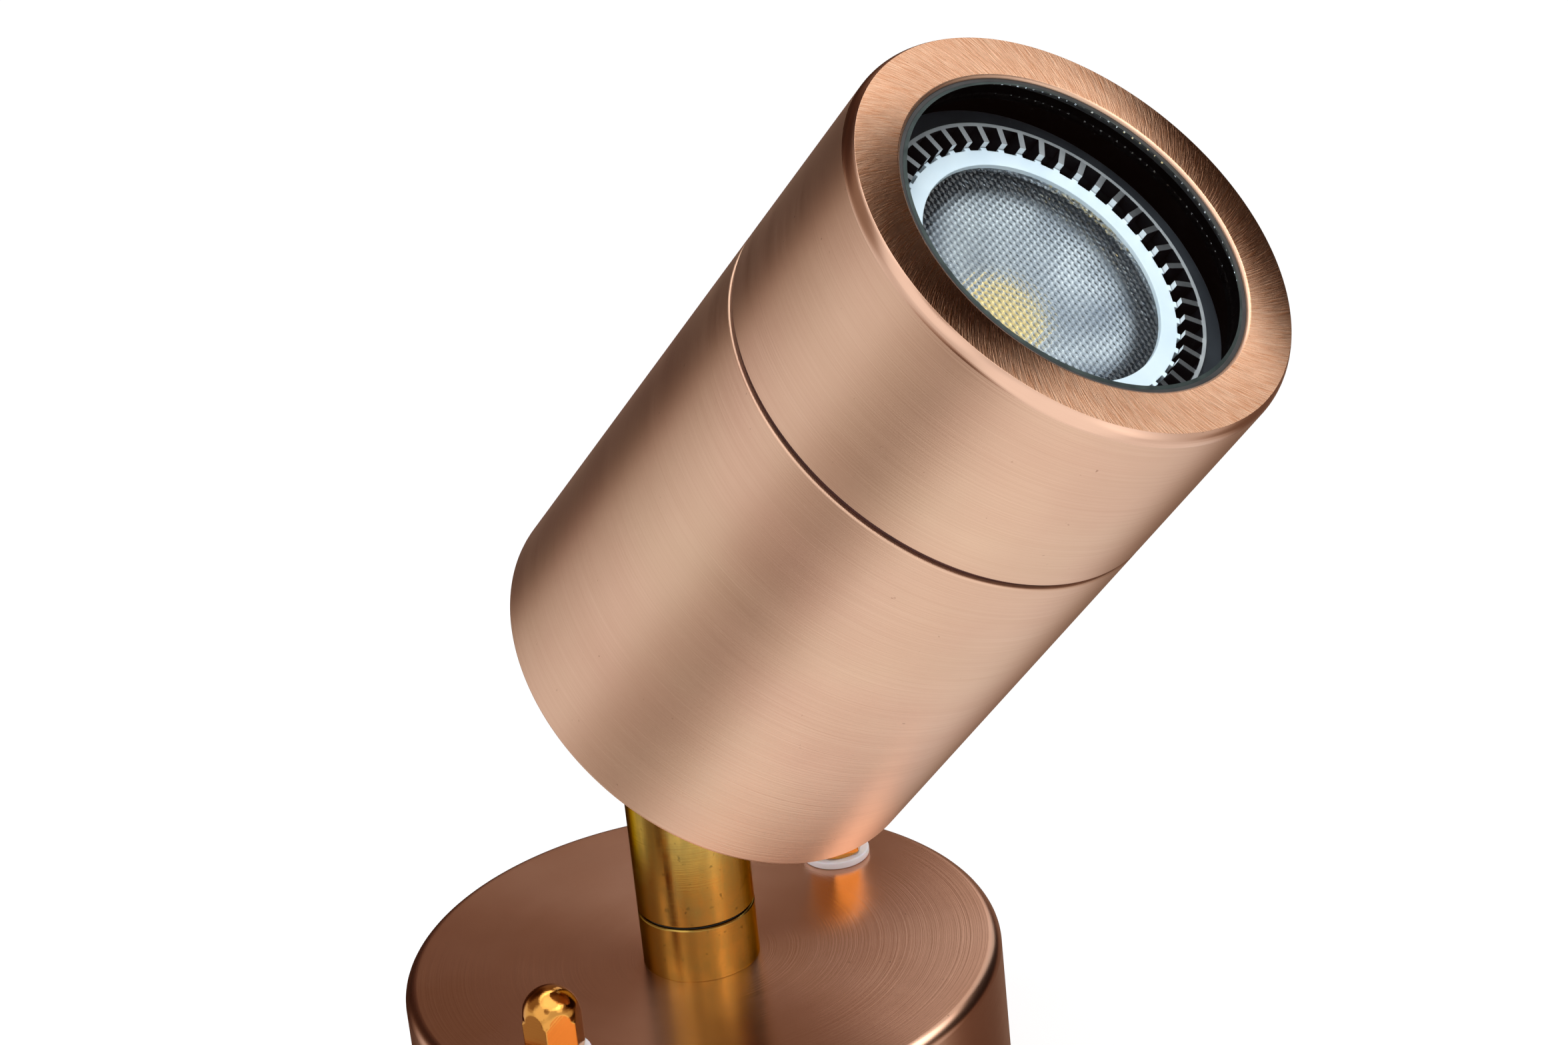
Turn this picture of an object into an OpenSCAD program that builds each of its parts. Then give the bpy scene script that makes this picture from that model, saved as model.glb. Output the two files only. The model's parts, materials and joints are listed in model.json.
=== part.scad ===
// Outdoor wall spotlight: copper canopy, brass half-lap knuckle and a copper head with a 50 mm lamp.
// The wall face is z = 0 and the light stands out along +Z. The head leans towards +X.

/* [Canopy] */
// Outer diameter of the canopy
canopy_d = 92; // [86:0.5:110]
// Height of the canopy off the wall
canopy_h = 28; // [27:0.5:40]
// Wall of the spun canopy
canopy_wall = 1.5; // [1:0.1:1.8]
// Outer radius of the canopy's shoulder
shoulder_r = 2; // [2:0.1:4]
// Width of the foam gasket inside the canopy's rim
gasket_w = 4; // [3:0.1:5]
// Thickness of the foam gasket
gasket_t = 3; // [2:0.1:5]

/* [Mounting plate] */
// Thickness of the steel mounting plate
plate_t = 2; // [1.5:0.1:3]
// Distance from the canopy's edge to the centre of a stud
stud_inset = 11.5; // [11:0.1:13]
// Direction of the line of the two studs, from the +X axis
stud_angle = 86; // [75:1:95]
// Diameter of the two studs
stud_d = 5; // [4:0.1:5.4]
// Web between a wall-screw slot and the stud next to it
slot_web = 3; // [2:0.1:5]
// Width of a wall-screw slot
slot_w = 5; // [4:0.1:6]
// End-to-end length of a wall-screw slot
slot_len = 10; // [7:0.1:11]
// Diameter of the plate's cable opening
cable_hole_d = 20; // [14:0.5:22]

/* [Dome nuts] */
// Width across the flats of the hexagon
nut_af = 8; // [7.8:0.1:10]
// Height of the hexagon
nut_hex_h = 6.5; // [4:0.1:7]
// Diameter of the dome, which the flats of the hexagon cut into
dome_d = 8.7; // [8:0.1:9]
// Diameter of the nylon washer
washer_d = 10.6; // [10:0.1:13]
// Thickness of the nylon washer
washer_t = 1.2; // [0.8:0.1:2]

/* [Knuckle] */
// Wall of the half-lap outside its wire chamber
lap_wall = 2; // [1.8:0.1:3]
// How far the rounded ends of the half-lap lie inside the post's outline
lap_inset = 0.2; // [0.1:0.05:0.5]
// Wall of the post round the collar's spigot
post_wall = 3; // [2.8:0.1:4]
// Height of the collar on the canopy
collar_h = 9; // [6:0.1:12]
// Gap of the swivel line between collar and post
swivel_gap = 0.4; // [0.3:0.05:0.6]
// Height of the collar's spigot inside the post
spigot_h = 7.5; // [6:0.1:8]
// Height of the tilt pivot above the canopy
pivot_h = 39.9; // [37:0.1:46]
// Gap between the two halves of the lap
lap_gap = 0.3; // [0.2:0.05:0.5]
// Distance from the pivot to the back of the head
neck_len = 14; // [12.4:0.1:18]
// Diameter of the threaded stems of collar and arm
stem_d = 10; // [9.4:0.1:11]
// Length of stem that stands past each lock nut
stem_end = 1.5; // [0.5:0.1:2]
// Bore through both stems for the leads
wire_bore_d = 6.4; // [5.6:0.1:7]
// Width across the flats of the two lock nuts
locknut_af = 14; // [13:0.1:16]
// Height of a lock nut
locknut_h = 4; // [3:0.1:5]
// Diameter of the lock nuts' washers
locknut_washer_d = 17; // [16:0.1:20]
// Thickness of the lock nuts' washers
locknut_washer_t = 1; // [0.6:0.1:1.5]

/* [Pivot screw] */
// Diameter of the pivot screw
pivot_d = 5; // [4:0.1:5.2]
// Diameter of its socket head
head_screw_d = 8.5; // [8.2:0.1:9]
// Height of its socket head
head_screw_h = 4.2; // [3.6:0.1:4.4]
// Width across the flats of its hexagon socket
socket_af = 4; // [3:0.1:4.5]
// Thickness of the spring washer under the head
spring_washer_t = 0.6; // [0.4:0.1:0.8]
// Depth of the wire chamber in each half of the lap
chamber_depth = 2.2; // [2:0.1:2.4]
// Wall between the pivot screw and the wire chamber
pivot_wall = 1; // [0.8:0.1:1.6]
// Spare width of the wire chamber beside its two leads
chamber_play = 0.5; // [0.4:0.05:1]

/* [Head] */
// Length of the head, back plate to front face
head_len = 102.5; // [100:0.5:140]
// Length of the front cap, front face to groove
cap_len = 32.5; // [31:0.1:40]
// Width of the groove between cap and rear housing
groove_w = 1.1; // [0.6:0.1:1.4]
// Wall of the rear housing
head_wall = 2; // [1.5:0.1:2.4]
// Thickness of the back plate
back_t = 3; // [2.5:0.1:4]
// Radius of the rear edge
rear_edge_r = 0.8; // [0.3:0.1:1.4]
// Wall of the cap round the glass and the black sleeve
cap_front_wall = 4.2; // [3.9:0.1:8]
// Wall of the cap round the thread
cap_wall = 1.8; // [1.5:0.1:2]
// Length of the threaded neck inside the cap
thread_len = 8; // [6:0.1:8.4]
// Wall of the threaded neck
thread_wall = 2; // [1.5:0.1:2.2]
// Radial size of the front edge's bevel
bevel_w = 0.75; // [0.4:0.05:1.5]
// Length of the front edge's bevel along the head
bevel_len = 2.1; // [1.5:0.1:3]
// How far the lip reaches in over the glass
lip_w = 3.35; // [2.6:0.05:4.4]
// Thickness of the lip in front of the glass's flange
lip_t = 1.2; // [1:0.1:1.6]
// Rounding of the lip's front edge
lip_edge = 0.5; // [0.3:0.1:0.8]

/* [Glass and sleeve] */
// Play of the glass in the cap, all round
glass_play = 0.2; // [0.1:0.05:0.4]
// Thickness of the glass at its centre
glass_t = 3.2; // [3:0.1:4]
// How far the glass's front lies behind the face
glass_recess = 0.35; // [0.2:0.05:0.6]
// Width of the ground edge round the glass's front
ground_w = 0.85; // [0.4:0.05:1.2]
// Width of the gasket's bead between glass and lip
bead_w = 0.6; // [0.4:0.1:1]
// Thickness of the gasket in front of the glass
front_gasket_t = 0.5; // [0.4:0.1:0.7]
// Thickness of the gasket behind the glass
rear_gasket_t = 0.8; // [0.5:0.1:1.2]
// Wall of the black sleeve
sleeve_wall = 2.2; // [1.5:0.1:2.6]
// Length of the black sleeve
sleeve_len = 28; // [24:0.5:32]
// Thickness of the lamp cushion
cushion_t = 3; // [2:0.1:4]
// Width of the lamp cushion, between lamp and sleeve
cushion_w = 2.85; // [2:0.05:5]

/* [Lamp] */
// Diameter of the lamp's rim
lamp_d = 49.5; // [40:0.1:75]
// Distance from the glass to the lamp's rim
lamp_gap = 5.75; // [4:0.05:7]
// Number of cooling fins
fin_count = 45; // [30:1:50]
// Thickness of a fin
fin_t = 0.9; // [0.6:0.05:1.2]
// Width of the thin rim that joins the fins
rim_w = 0.6; // [0.4:0.05:1]
// Height of the thin rim
rim_h = 2.2; // [1.6:0.1:3]
// How far the heat sink's core lies inside the white ring's edge
core_inset = 0.7; // [0.4:0.1:1.2]
// Diameter of the heat sink's core at the back
core_back_d = 26; // [24:0.1:30]
// Length of the finned heat sink
sink_len = 28; // [24:0.5:32]
// Length of fin that shows between the lamp's edge and the white ring
fin_reach = 3.45; // [3:0.05:5]
// Width of the white ring
ring_w = 3; // [2.5:0.1:4]
// How far the white ring lies behind the rim
ring_drop = 1.1; // [0.6:0.1:1.6]
// Thickness of the white ring
ring_t = 1.5; // [1:0.1:2]
// Thickness of the lens
lens_t = 2.6; // [2:0.1:3.2]
// Depth from the rim to the LED board
board_drop = 12; // [9:0.1:12]
// Thickness of the LED board
board_t = 1.5; // [1:0.1:2]
// Diameter of the LED chip
chip_d = 11; // [9:0.1:14]
// Thickness of the LED chip
chip_t = 0.7; // [0.5:0.1:1]
// Length of the insulating lamp base
base_len = 18; // [16:0.5:21]
// Diameter of the lamp base's spigot
base_d = 18.6; // [17:0.1:20]
// Distance between the two lamp pins
pin_pitch = 10; // [9:0.1:11]
// Diameter of a pin's stem
pin_d = 3; // [2.6:0.1:3.4]
// Diameter of a pin's head
pin_head_d = 4.8; // [4.2:0.1:5]
// Length of a pin
pin_len = 6; // [5:0.1:7]

/* [Lampholder] */
// Diameter of the ceramic lampholder
holder_d = 27; // [25:0.1:29]
// Height of the ceramic lampholder
holder_h = 13; // [11:0.1:15]
// Thickness of its two ears
ear_t = 3; // [2:0.1:4]
// Width of its ears and of the bracket
ear_w = 12; // [10:0.1:14]
// Distance of the bracket's legs from the axis
leg_y = 21; // [20.6:0.1:24]
// Thickness of the steel bracket
bracket_t = 1; // [0.8:0.1:1.5]
// Diameter of the screws through the ears
ear_screw_d = 3; // [2.5:0.1:3]

/* [Wiring] */
// Diameter of the silicone leads
lead_d = 1.4; // [1:0.1:1.4]
// Width of the terminal block, across its poles
block_w = 14; // [12:0.1:15]
// Height of the terminal block
block_h = 11; // [10:0.1:14]
// Distance between two poles
pole_pitch = 8; // [7.6:0.1:9]
// Distance from the light's axis to the terminal block's centre
block_x = 25; // [24:0.1:26]
// Diameter of a terminal's wire hole
wire_hole_d = 3.4; // [2.8:0.1:3.6]
// Depth of a terminal's wire hole
wire_hole_len = 6; // [5:0.1:6.5]

/* [Pose] */
// Tilt of the head away from the wall's normal, as stored
rest_tilt = 40.8; // [0:0.1:65]

/* [Hidden] */
$fn = 96;

// Shared clearances, and the overrun of every cut
fit = 0.1;
running = 0.05;
snug = 0.02;
over = 1;

// Canopy and plate
canopy_r = canopy_d / 2;
canopy_in_r = canopy_r - canopy_wall;
plate_gap = 1.5;
plate_r = canopy_in_r - gasket_w - plate_gap;
stud_r = stud_d / 2;
stud_place = canopy_r - stud_inset;
slot_place = stud_place - stud_r - slot_web - slot_len / 2;
stud_flange_d = 7.6;
stud_flange_t = 1.2;
stud_cover = 0.8;
stud_top = canopy_h + washer_t + nut_hex_h + stud_cover;
nut_chamfer = 0.5;
dome_steps = 16;
shoulder_steps = 8;

// O-rings: every one has this section, in a gland as deep
oring_d = 1.2;
gland_d = oring_d + snug;
gland_play = 0.2;

// Knuckle: the screw, its wall, the chamber with two leads side by side, and the wall round them
lead_r = lead_d / 2;
pivot_r = pivot_d / 2;
chamber_in_r = pivot_r + pivot_wall;
chamber_out_r = chamber_in_r + 2 * lead_d + chamber_play;
lap_r = chamber_out_r + lap_wall;
post_r = lap_r + lap_inset;
post_d = 2 * post_r;
edge_chamfer = 0.2;
collar_top = canopy_h + collar_h;
post_bottom = collar_top + swivel_gap;
pivot_z = canopy_h + pivot_h;
lap_clear = 0.5;
lap_shoulder = lap_r + lap_clear;
spigot_r = post_r - post_wall;
spigot_top = collar_top + spigot_h;
stem_r = stem_d / 2;
stem_gland_r = (stem_r + post_r) / 2;
wire_bore_r = wire_bore_d / 2;
canopy_under = canopy_h - canopy_wall;
collar_stem_bottom = canopy_under - locknut_washer_t - locknut_h - stem_end;
back_inside = neck_len + back_t;
arm_stem_top = back_inside + bracket_t + locknut_washer_t + locknut_h + stem_end;
seal_in_r = spigot_r + 1.05 * oring_d;
seal_w = oring_d;
seal_h = 0.9;
seal_proud = 0.1;
chamber_room = 2.5;
grub_d = 4;
grub_tip_d = 2.4;
grub_groove_w = 4.4;
grub_groove_depth = 0.6;
grub_play = 0.3;
grub_inset = 0.4;
grub_z = post_bottom + 0.45 * spigot_h;
lead_play = 0.15;
lead_x = lead_r + lead_play;
lead_bore_play = 0.45;
lead_bore_r = lead_x + lead_r + lead_bore_play;
lead_bore_step = 0.25;
lead_bore_y = lap_gap / 2 + chamber_depth + lead_bore_step;
lead_gap = 0.5;
lead_setback = 0.2;
head_pocket_play = 0.35;
pocket_web = 1.35;
lap_gland_r = (chamber_out_r + lap_r) / 2 - oring_d / 16;

// Head, measured across from the lamp outwards, and along its axis from the pivot
lamp_r = lamp_d / 2;
sleeve_in_r = lamp_r + cushion_w;
sleeve_r = sleeve_in_r + sleeve_wall;
head_r = sleeve_r + cap_front_wall;
head_front = neck_len + head_len;
cap_back = head_front - cap_len;
housing_front = cap_back - groove_w;
thread_r = head_r - cap_wall;
thread_in_r = thread_r - thread_wall;
thread_root = 4;
thread_relief = 0.5;
housing_in_r = head_r - head_wall;
seal_recess = 0.7;
edge_steps = 6;
bevel_r = (bevel_w * bevel_w + bevel_len * bevel_len) / (2 * bevel_w);
bevel_angle = asin(bevel_len / bevel_r);

// Glass, gaskets and sleeve
glass_front = head_front - glass_recess;
glass_back = glass_front - glass_t;
flange_front = head_front - lip_t - front_gasket_t;
bead_front = head_front - lip_edge;
sleeve_front = glass_back - rear_gasket_t;
glass_r = sleeve_r - glass_play;
aperture_r = sleeve_r - lip_w;
glass_step_r = aperture_r - bead_w;
gasket_step = 0.15;
rear_gasket_in_r = sleeve_in_r - gasket_step;

// Lamp, measured back from its rim
rim_z = glass_back - lamp_gap;
ring_r = lamp_r - fin_reach;
ring_in_r = ring_r - ring_w;
core_r = ring_r - core_inset;
cushion_drop = 0.8;
tooth_len = 0.5;
tooth_w = 1;
lens_step = 0.5;
lens_drop = ring_drop + lens_step;
lens_gap = 0.1;
shell_t = 1.6;
cone_t = 0.6;
flange_t = 0.8;
sink_shares = [[1, 0], [0.98, 0.4], [0.86, 0.75], [0.66, 1]];
base_step = 0.2;
base_front_r = core_back_d / 2 - base_step;
base_z = rim_z - sink_len - base_len;

// Lampholder and bracket
pocket_play = 0.5;
holder_back = base_z - holder_h;
ear_screw_y = leg_y - bracket_t - ear_screw_d;
ear_end_y = leg_y - bracket_t - fit;
screw_head_share = 1.8;
screw_head_h = 1.8;

// Wiring
poles = [-1, 0, 1];
block_l = 3 * pole_pitch;
block_front = plate_t + block_h;
wire_z = plate_t + 0.42 * block_h;
pole_screw_d = 3;
pole_screw_h = 2.4;
pole_screw_sink = 1;
pole_screw_x = 0.28 * block_w;
fixing_d = 2.6;
earth_place_shares = [-0.28, -0.51];
earth_place = earth_place_shares * plate_r;
earth_d = 4;
lug_t = 0.8;
lug_ring_d = 8;
lug_tail = 10;
barrel_d = 3.4;
barrel_len = 5;
slack = 12;
sides = 8;

// Placing of repeated and tilted pieces
module at_studs() {
  for (turn = [0, 180])
    rotate([0, 0, stud_angle + turn]) translate([stud_place, 0, 0]) children();
}

module in_head() {
  translate([0, 0, pivot_z]) rotate([0, rest_tilt, 0]) children();
}

module ring(r_in, r_out, h) {
  rotate_extrude() translate([r_in, 0]) square([r_out - r_in, h]);
}

module oring(r, section) {
  rotate_extrude() translate([r, 0]) circle(d = section);
}

module hex_prism(af, h) {
  rotate([0, 0, 30]) cylinder(d = af / cos(30), h = h, $fn = 6);
}

// A round tube swept along a route of points
function unit(v) = v / norm(v);
function route_dir(p, i) =
  i == 0 ? unit(p[1] - p[0])
  : i == len(p) - 1 ? unit(p[i] - p[i - 1])
  : unit(unit(p[i + 1] - p[i]) + unit(p[i] - p[i - 1]));
function square_to(n, t) = unit(n - (n * t) * t);
function route_normals(p, seed) = [
  for (i = 0, n = square_to(seed, route_dir(p, 0)); i < len(p);
    i = i + 1, n = i < len(p) ? square_to(n, route_dir(p, i)) : n) n];
function bezier(a, b, c, d, steps) = [
  for (i = [0:steps]) let (t = i / steps, s = 1 - t)
    s * s * s * a + 3 * s * s * t * b + 3 * s * t * t * c + t * t * t * d];

module tube(route, r, seed) {
  n = len(route);
  normals = route_normals(route, seed);
  points = [
    for (i = [0:n - 1], k = [0:sides - 1])
      let (t = route_dir(route, i), turn = 360 * k / sides)
        route[i] + r * (cos(turn) * normals[i] + sin(turn) * cross(t, normals[i]))];
  walls = [
    for (i = [0:n - 2], k = [0:sides - 1])
      let (a = i * sides + k, b = i * sides + (k + 1) % sides)
        each [[a, a + sides, b + sides], [a, b + sides, b]]];
  start = [for (k = [1:sides - 2]) [0, k, k + 1]];
  last = (n - 1) * sides;
  end = [for (k = [1:sides - 2]) [last, last + k + 1, last + k]];
  polyhedron(points = points, faces = concat(walls, start, end));
}

// Canopy and its gasket
module canopy() {
  turned_in_r = shoulder_r - canopy_wall + fit;
  color([0.72, 0.52, 0.42]) difference() {
    rotate_extrude() polygon(concat(
      [[canopy_in_r, 0], [canopy_r, 0]],
      [for (i = [0:shoulder_steps]) let (a = 90 * i / shoulder_steps)
        [canopy_r - shoulder_r + shoulder_r * cos(a), canopy_h - shoulder_r + shoulder_r * sin(a)]],
      [[0, canopy_h], [0, canopy_under], [canopy_in_r - turned_in_r, canopy_under],
        [canopy_in_r, canopy_under - turned_in_r]]));
    translate([0, 0, canopy_under - over]) cylinder(r = stem_r + fit, h = canopy_wall + 2 * over);
    at_studs() translate([0, 0, canopy_under - over])
      cylinder(r = stud_r + fit, h = canopy_wall + 2 * over);
  }
}

module canopy_gasket() {
  color([0.12, 0.12, 0.12]) ring(canopy_in_r - gasket_w, canopy_in_r, gasket_t);
}

// Mounting plate with its studs, nuts and washers
module slot_cut() {
  reach = (slot_len - slot_w) / 2;
  translate([0, 0, -over]) {
    for (end = [-1, 1])
      translate([0, end * reach, 0]) cylinder(d = slot_w, h = plate_t + 2 * over);
    translate([-slot_w / 2, -reach, 0]) cube([slot_w, 2 * reach, plate_t + 2 * over]);
  }
}

module mounting_plate() {
  color([0.62, 0.63, 0.65]) difference() {
    cylinder(r = plate_r, h = plate_t);
    translate([0, 0, -over]) cylinder(d = cable_hole_d, h = plate_t + 2 * over);
    for (side = [-1, 1])
      translate([0, side * slot_place, 0]) slot_cut();
    at_studs() translate([0, 0, -over]) cylinder(r = stud_r, h = plate_t + 2 * over);
    for (side = [-1, 1])
      translate([-block_x, side * pole_pitch / 2, -over]) cylinder(d = fixing_d, h = plate_t + 2 * over);
    translate([earth_place[0], earth_place[1], -over]) cylinder(d = earth_d, h = plate_t + 2 * over);
  }
}

module mounting_studs() {
  color([0.7, 0.7, 0.72]) at_studs() {
    cylinder(r = stud_r, h = stud_top);
    translate([0, 0, plate_t]) cylinder(d = stud_flange_d, h = stud_flange_t);
  }
}

module nylon_washers() {
  color([0.93, 0.93, 0.95]) at_studs()
    translate([0, 0, canopy_h]) ring(stud_r, washer_d / 2, washer_t);
}

module dome_nut() {
  dome_r = dome_d / 2;
  difference() {
    intersection() {
      hex_prism(nut_af, nut_hex_h + dome_r + over);
      rotate_extrude() polygon(concat(
        [[0, 0], [nut_af / 2, 0], [nut_af / sqrt(3) + snug, nut_chamfer],
          [nut_af / sqrt(3) + snug, nut_hex_h - nut_chamfer]],
        [for (i = [0:dome_steps]) let (a = 90 * i / dome_steps)
          [dome_r * cos(a), nut_hex_h + dome_r * sin(a)]]));
    }
    translate([0, 0, -over]) cylinder(r = stud_r, h = nut_hex_h + stud_cover + over);
  }
}

module dome_nuts() {
  color([0.8, 0.55, 0.2]) at_studs() translate([0, 0, canopy_h + washer_t]) dome_nut();
}

// Terminal block and earth point
module terminal_block() {
  color([0.9, 0.88, 0.82]) translate([-block_x, 0, plate_t]) difference() {
    translate([-block_w / 2, -block_l / 2, 0]) cube([block_w, block_l, block_h]);
    for (pole = poles) {
      for (side = [-1, 1]) {
        translate([side * (block_w / 2 + over), pole * pole_pitch, wire_z - plate_t])
          rotate([0, -side * 90, 0]) cylinder(d = wire_hole_d, h = wire_hole_len + over);
        translate([side * pole_screw_x, pole * pole_pitch, block_h - pole_screw_h - pole_screw_sink])
          cylinder(d = pole_screw_d + 2 * fit, h = pole_screw_h + pole_screw_sink + over);
      }
    }
    for (side = [-1, 1])
      translate([0, side * pole_pitch / 2, -over]) cylinder(d = fixing_d, h = block_h + 2 * over);
  }
}

module slotted_screw(d, h) {
  difference() {
    cylinder(d = d, h = h);
    translate([-d, -d / 10, h - d / 5]) cube([2 * d, d / 5, d]);
  }
}

module terminal_screws() {
  color([0.75, 0.68, 0.4]) translate([-block_x, 0, block_front - pole_screw_h - pole_screw_sink])
    for (pole = poles, side = [-1, 1])
      translate([side * pole_screw_x, pole * pole_pitch, 0]) slotted_screw(pole_screw_d, pole_screw_h);
}

module block_screws() {
  head_d = 1.5 * fixing_d;
  head_h = 0.5 * fixing_d;
  color([0.7, 0.7, 0.72]) for (side = [-1, 1])
    translate([-block_x, side * pole_pitch / 2, 0]) {
      cylinder(d = fixing_d, h = block_front);
      translate([0, 0, block_front]) slotted_screw(head_d, head_h);
    }
}

module earth_lug() {
  color([0.8, 0.8, 0.82]) translate([earth_place[0], earth_place[1], plate_t]) rotate([0, 0, -90]) {
    difference() {
      union() {
        cylinder(d = lug_ring_d, h = lug_t);
        translate([-lug_tail, -barrel_d / 2, 0]) cube([lug_tail, barrel_d, lug_t]);
      }
      translate([0, 0, -over]) cylinder(d = earth_d, h = lug_t + 2 * over);
    }
    translate([-lug_tail, 0, lug_t + barrel_d / 2]) rotate([0, 90, 0])
      ring(lead_r, barrel_d / 2, barrel_len);
  }
}

module earth_screw() {
  head_d = 1.9 * earth_d;
  head_h = 0.6 * earth_d;
  color([0.75, 0.68, 0.4]) translate([earth_place[0], earth_place[1], 0]) {
    cylinder(d = earth_d, h = plate_t + lug_t);
    translate([0, 0, plate_t + lug_t]) slotted_screw(head_d, head_h);
  }
}

// Leads from the terminal block
block_mouth = [-block_x + block_w / 2 - wire_hole_len + over, 0, wire_z];
barrel_mouth = [earth_place[0], earth_place[1] + lug_tail, plate_t + lug_t + barrel_d / 2];
collar_mouth = [0, 0, collar_stem_bottom - lead_d];

module earth_lead() {
  color([0.4, 0.6, 0.2]) tube(concat(
    [block_mouth],
    bezier(block_mouth + [wire_hole_len, 0, 0], block_mouth + [wire_hole_len + slack / 2, 0, 0],
      barrel_mouth + [0, slack / 2, 0], barrel_mouth + [0, lead_d, 0], 10),
    [barrel_mouth - [0, barrel_len / 2, 0]]), lead_r, [0, 0, 1]);
}

// The pair makes a quarter turn inside the collar, to meet the post's pair
module base_leads() {
  quarter_steps = 6;
  for (side = [-1, 1]) {
    start = block_mouth + [0, side * pole_pitch, 0];
    end = collar_mouth + [0, side * lead_x, 0];
    color(side < 0 ? [0.45, 0.25, 0.12] : [0.2, 0.35, 0.75]) tube(concat(
      [start],
      bezier(start + [wire_hole_len, 0, 0], start + [wire_hole_len + slack / 2, 0, 0],
        end - [0, 0, slack / 2], end, 10),
      [for (i = [1:quarter_steps]) let (t = i / quarter_steps, turn = 90 * t)
        [side * lead_x * sin(turn), side * lead_x * cos(turn),
          canopy_under + t * (collar_top - canopy_under)]],
      [[side * lead_x, 0, spigot_top]]), lead_r, [0, 0, 1]);
  }
}

// Collar, its seals and its lock nut
module knuckle_collar() {
  groove_low = grub_z - grub_groove_w / 2;
  groove_high = grub_z + grub_groove_w / 2;
  groove_r = spigot_r - grub_groove_depth;
  gland_in = stem_gland_r - oring_d / 2 - gland_play;
  gland_out = stem_gland_r + oring_d / 2 + gland_play;
  color([0.78, 0.6, 0.3]) rotate_extrude() polygon([
    [wire_bore_r, collar_stem_bottom], [stem_r, collar_stem_bottom], [stem_r, canopy_h],
    [gland_in, canopy_h], [gland_in, canopy_h + gland_d], [gland_out, canopy_h + gland_d],
    [gland_out, canopy_h], [post_r, canopy_h], [post_r, collar_top - edge_chamfer],
    [post_r - edge_chamfer, collar_top], [seal_in_r + seal_w, collar_top],
    [seal_in_r + seal_w, collar_top - seal_h + seal_proud],
    [seal_in_r, collar_top - seal_h + seal_proud], [seal_in_r, collar_top],
    [spigot_r, collar_top], [spigot_r, groove_low], [groove_r, groove_low],
    [groove_r, groove_high], [spigot_r, groove_high], [spigot_r, spigot_top],
    [wire_bore_r, spigot_top]]);
}

module collar_oring() {
  color([0.1, 0.1, 0.1]) translate([0, 0, canopy_h + oring_d / 2]) oring(stem_gland_r, oring_d);
}

module collar_washer() {
  color([0.72, 0.72, 0.74]) translate([0, 0, canopy_under - locknut_washer_t])
    ring(stem_r, locknut_washer_d / 2, locknut_washer_t);
}

module locknut() {
  difference() {
    hex_prism(locknut_af, locknut_h);
    translate([0, 0, -over]) cylinder(r = stem_r, h = locknut_h + 2 * over);
  }
}

module collar_locknut() {
  color([0.78, 0.62, 0.33]) translate([0, 0, canopy_under - locknut_washer_t - locknut_h]) locknut();
}

module swivel_seal() {
  color([0.1, 0.1, 0.1]) translate([0, 0, collar_top - seal_h + seal_proud])
    ring(seal_in_r, seal_in_r + seal_w, seal_h);
}

// The half-lap: both halves are the same turned bar, cut away on one side of the lap plane
module lap_half(side) {
  intersection() {
    translate([0, 0, -lap_shoulder - over]) cylinder(r = post_r, h = 2 * lap_shoulder);
    translate([-post_d, side > 0 ? lap_gap / 2 : -post_d - lap_gap / 2, -post_d])
      cube([2 * post_d, post_d, 2 * post_d]);
    union() {
      rotate([90, 0, 0]) translate([0, 0, -post_d]) cylinder(r = lap_r, h = 2 * post_d);
      translate([-post_d, -post_d, -2 * post_d]) cube(2 * post_d);
    }
  }
}

module lap_chamber(side) {
  translate([0, side * lap_gap / 2 - (side > 0 ? over : -over), 0])
    rotate([-side * 90, 0, 0]) ring(chamber_in_r, chamber_out_r, chamber_depth + over);
}

module knuckle_post() {
  low = post_bottom - pivot_z;
  room_top = spigot_top - pivot_z + chamber_room;
  pocket_depth = head_screw_h + spring_washer_t + fit;
  pocket_y = -lap_gap / 2 - chamber_depth - pocket_web;
  color([0.78, 0.6, 0.3]) translate([0, 0, pivot_z]) difference() {
    union() {
      rotate_extrude() polygon([
        [0, low], [post_r - edge_chamfer, low], [post_r, low + edge_chamfer],
        [post_r, -lap_shoulder], [0, -lap_shoulder]]);
      lap_half(-1);
    }
    translate([0, 0, low - over]) cylinder(r = spigot_r + running, h = room_top - low + over);
    translate([0, -lead_bore_y, room_top - over])
      cylinder(r = lead_bore_r, h = -room_top + over - chamber_in_r - lead_r);
    lap_chamber(-1);
    rotate([90, 0, 0]) translate([0, 0, -over]) cylinder(r = pivot_r + running, h = post_d);
    rotate([90, 0, 0]) translate([0, 0, -pocket_y])
      cylinder(d = head_screw_d + 2 * head_pocket_play, h = pocket_depth + post_r);
    translate([0, 0, grub_z - pivot_z]) rotate([-90, 0, 0]) cylinder(d = grub_d, h = post_d);
  }
}

module pan_grub_screw() {
  tip = spigot_r - grub_groove_depth + grub_play;
  body = spigot_r + grub_play;
  end = post_r - grub_inset;
  color([0.3, 0.3, 0.32]) translate([0, 0, grub_z]) rotate([-90, 0, 0]) difference() {
    union() {
      translate([0, 0, tip]) cylinder(d = grub_tip_d, h = body - tip + running);
      translate([0, 0, body]) cylinder(d = grub_d, h = end - body);
    }
    translate([0, 0, end - grub_d / 4]) hex_prism(grub_d / 2, grub_d);
  }
}

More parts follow.
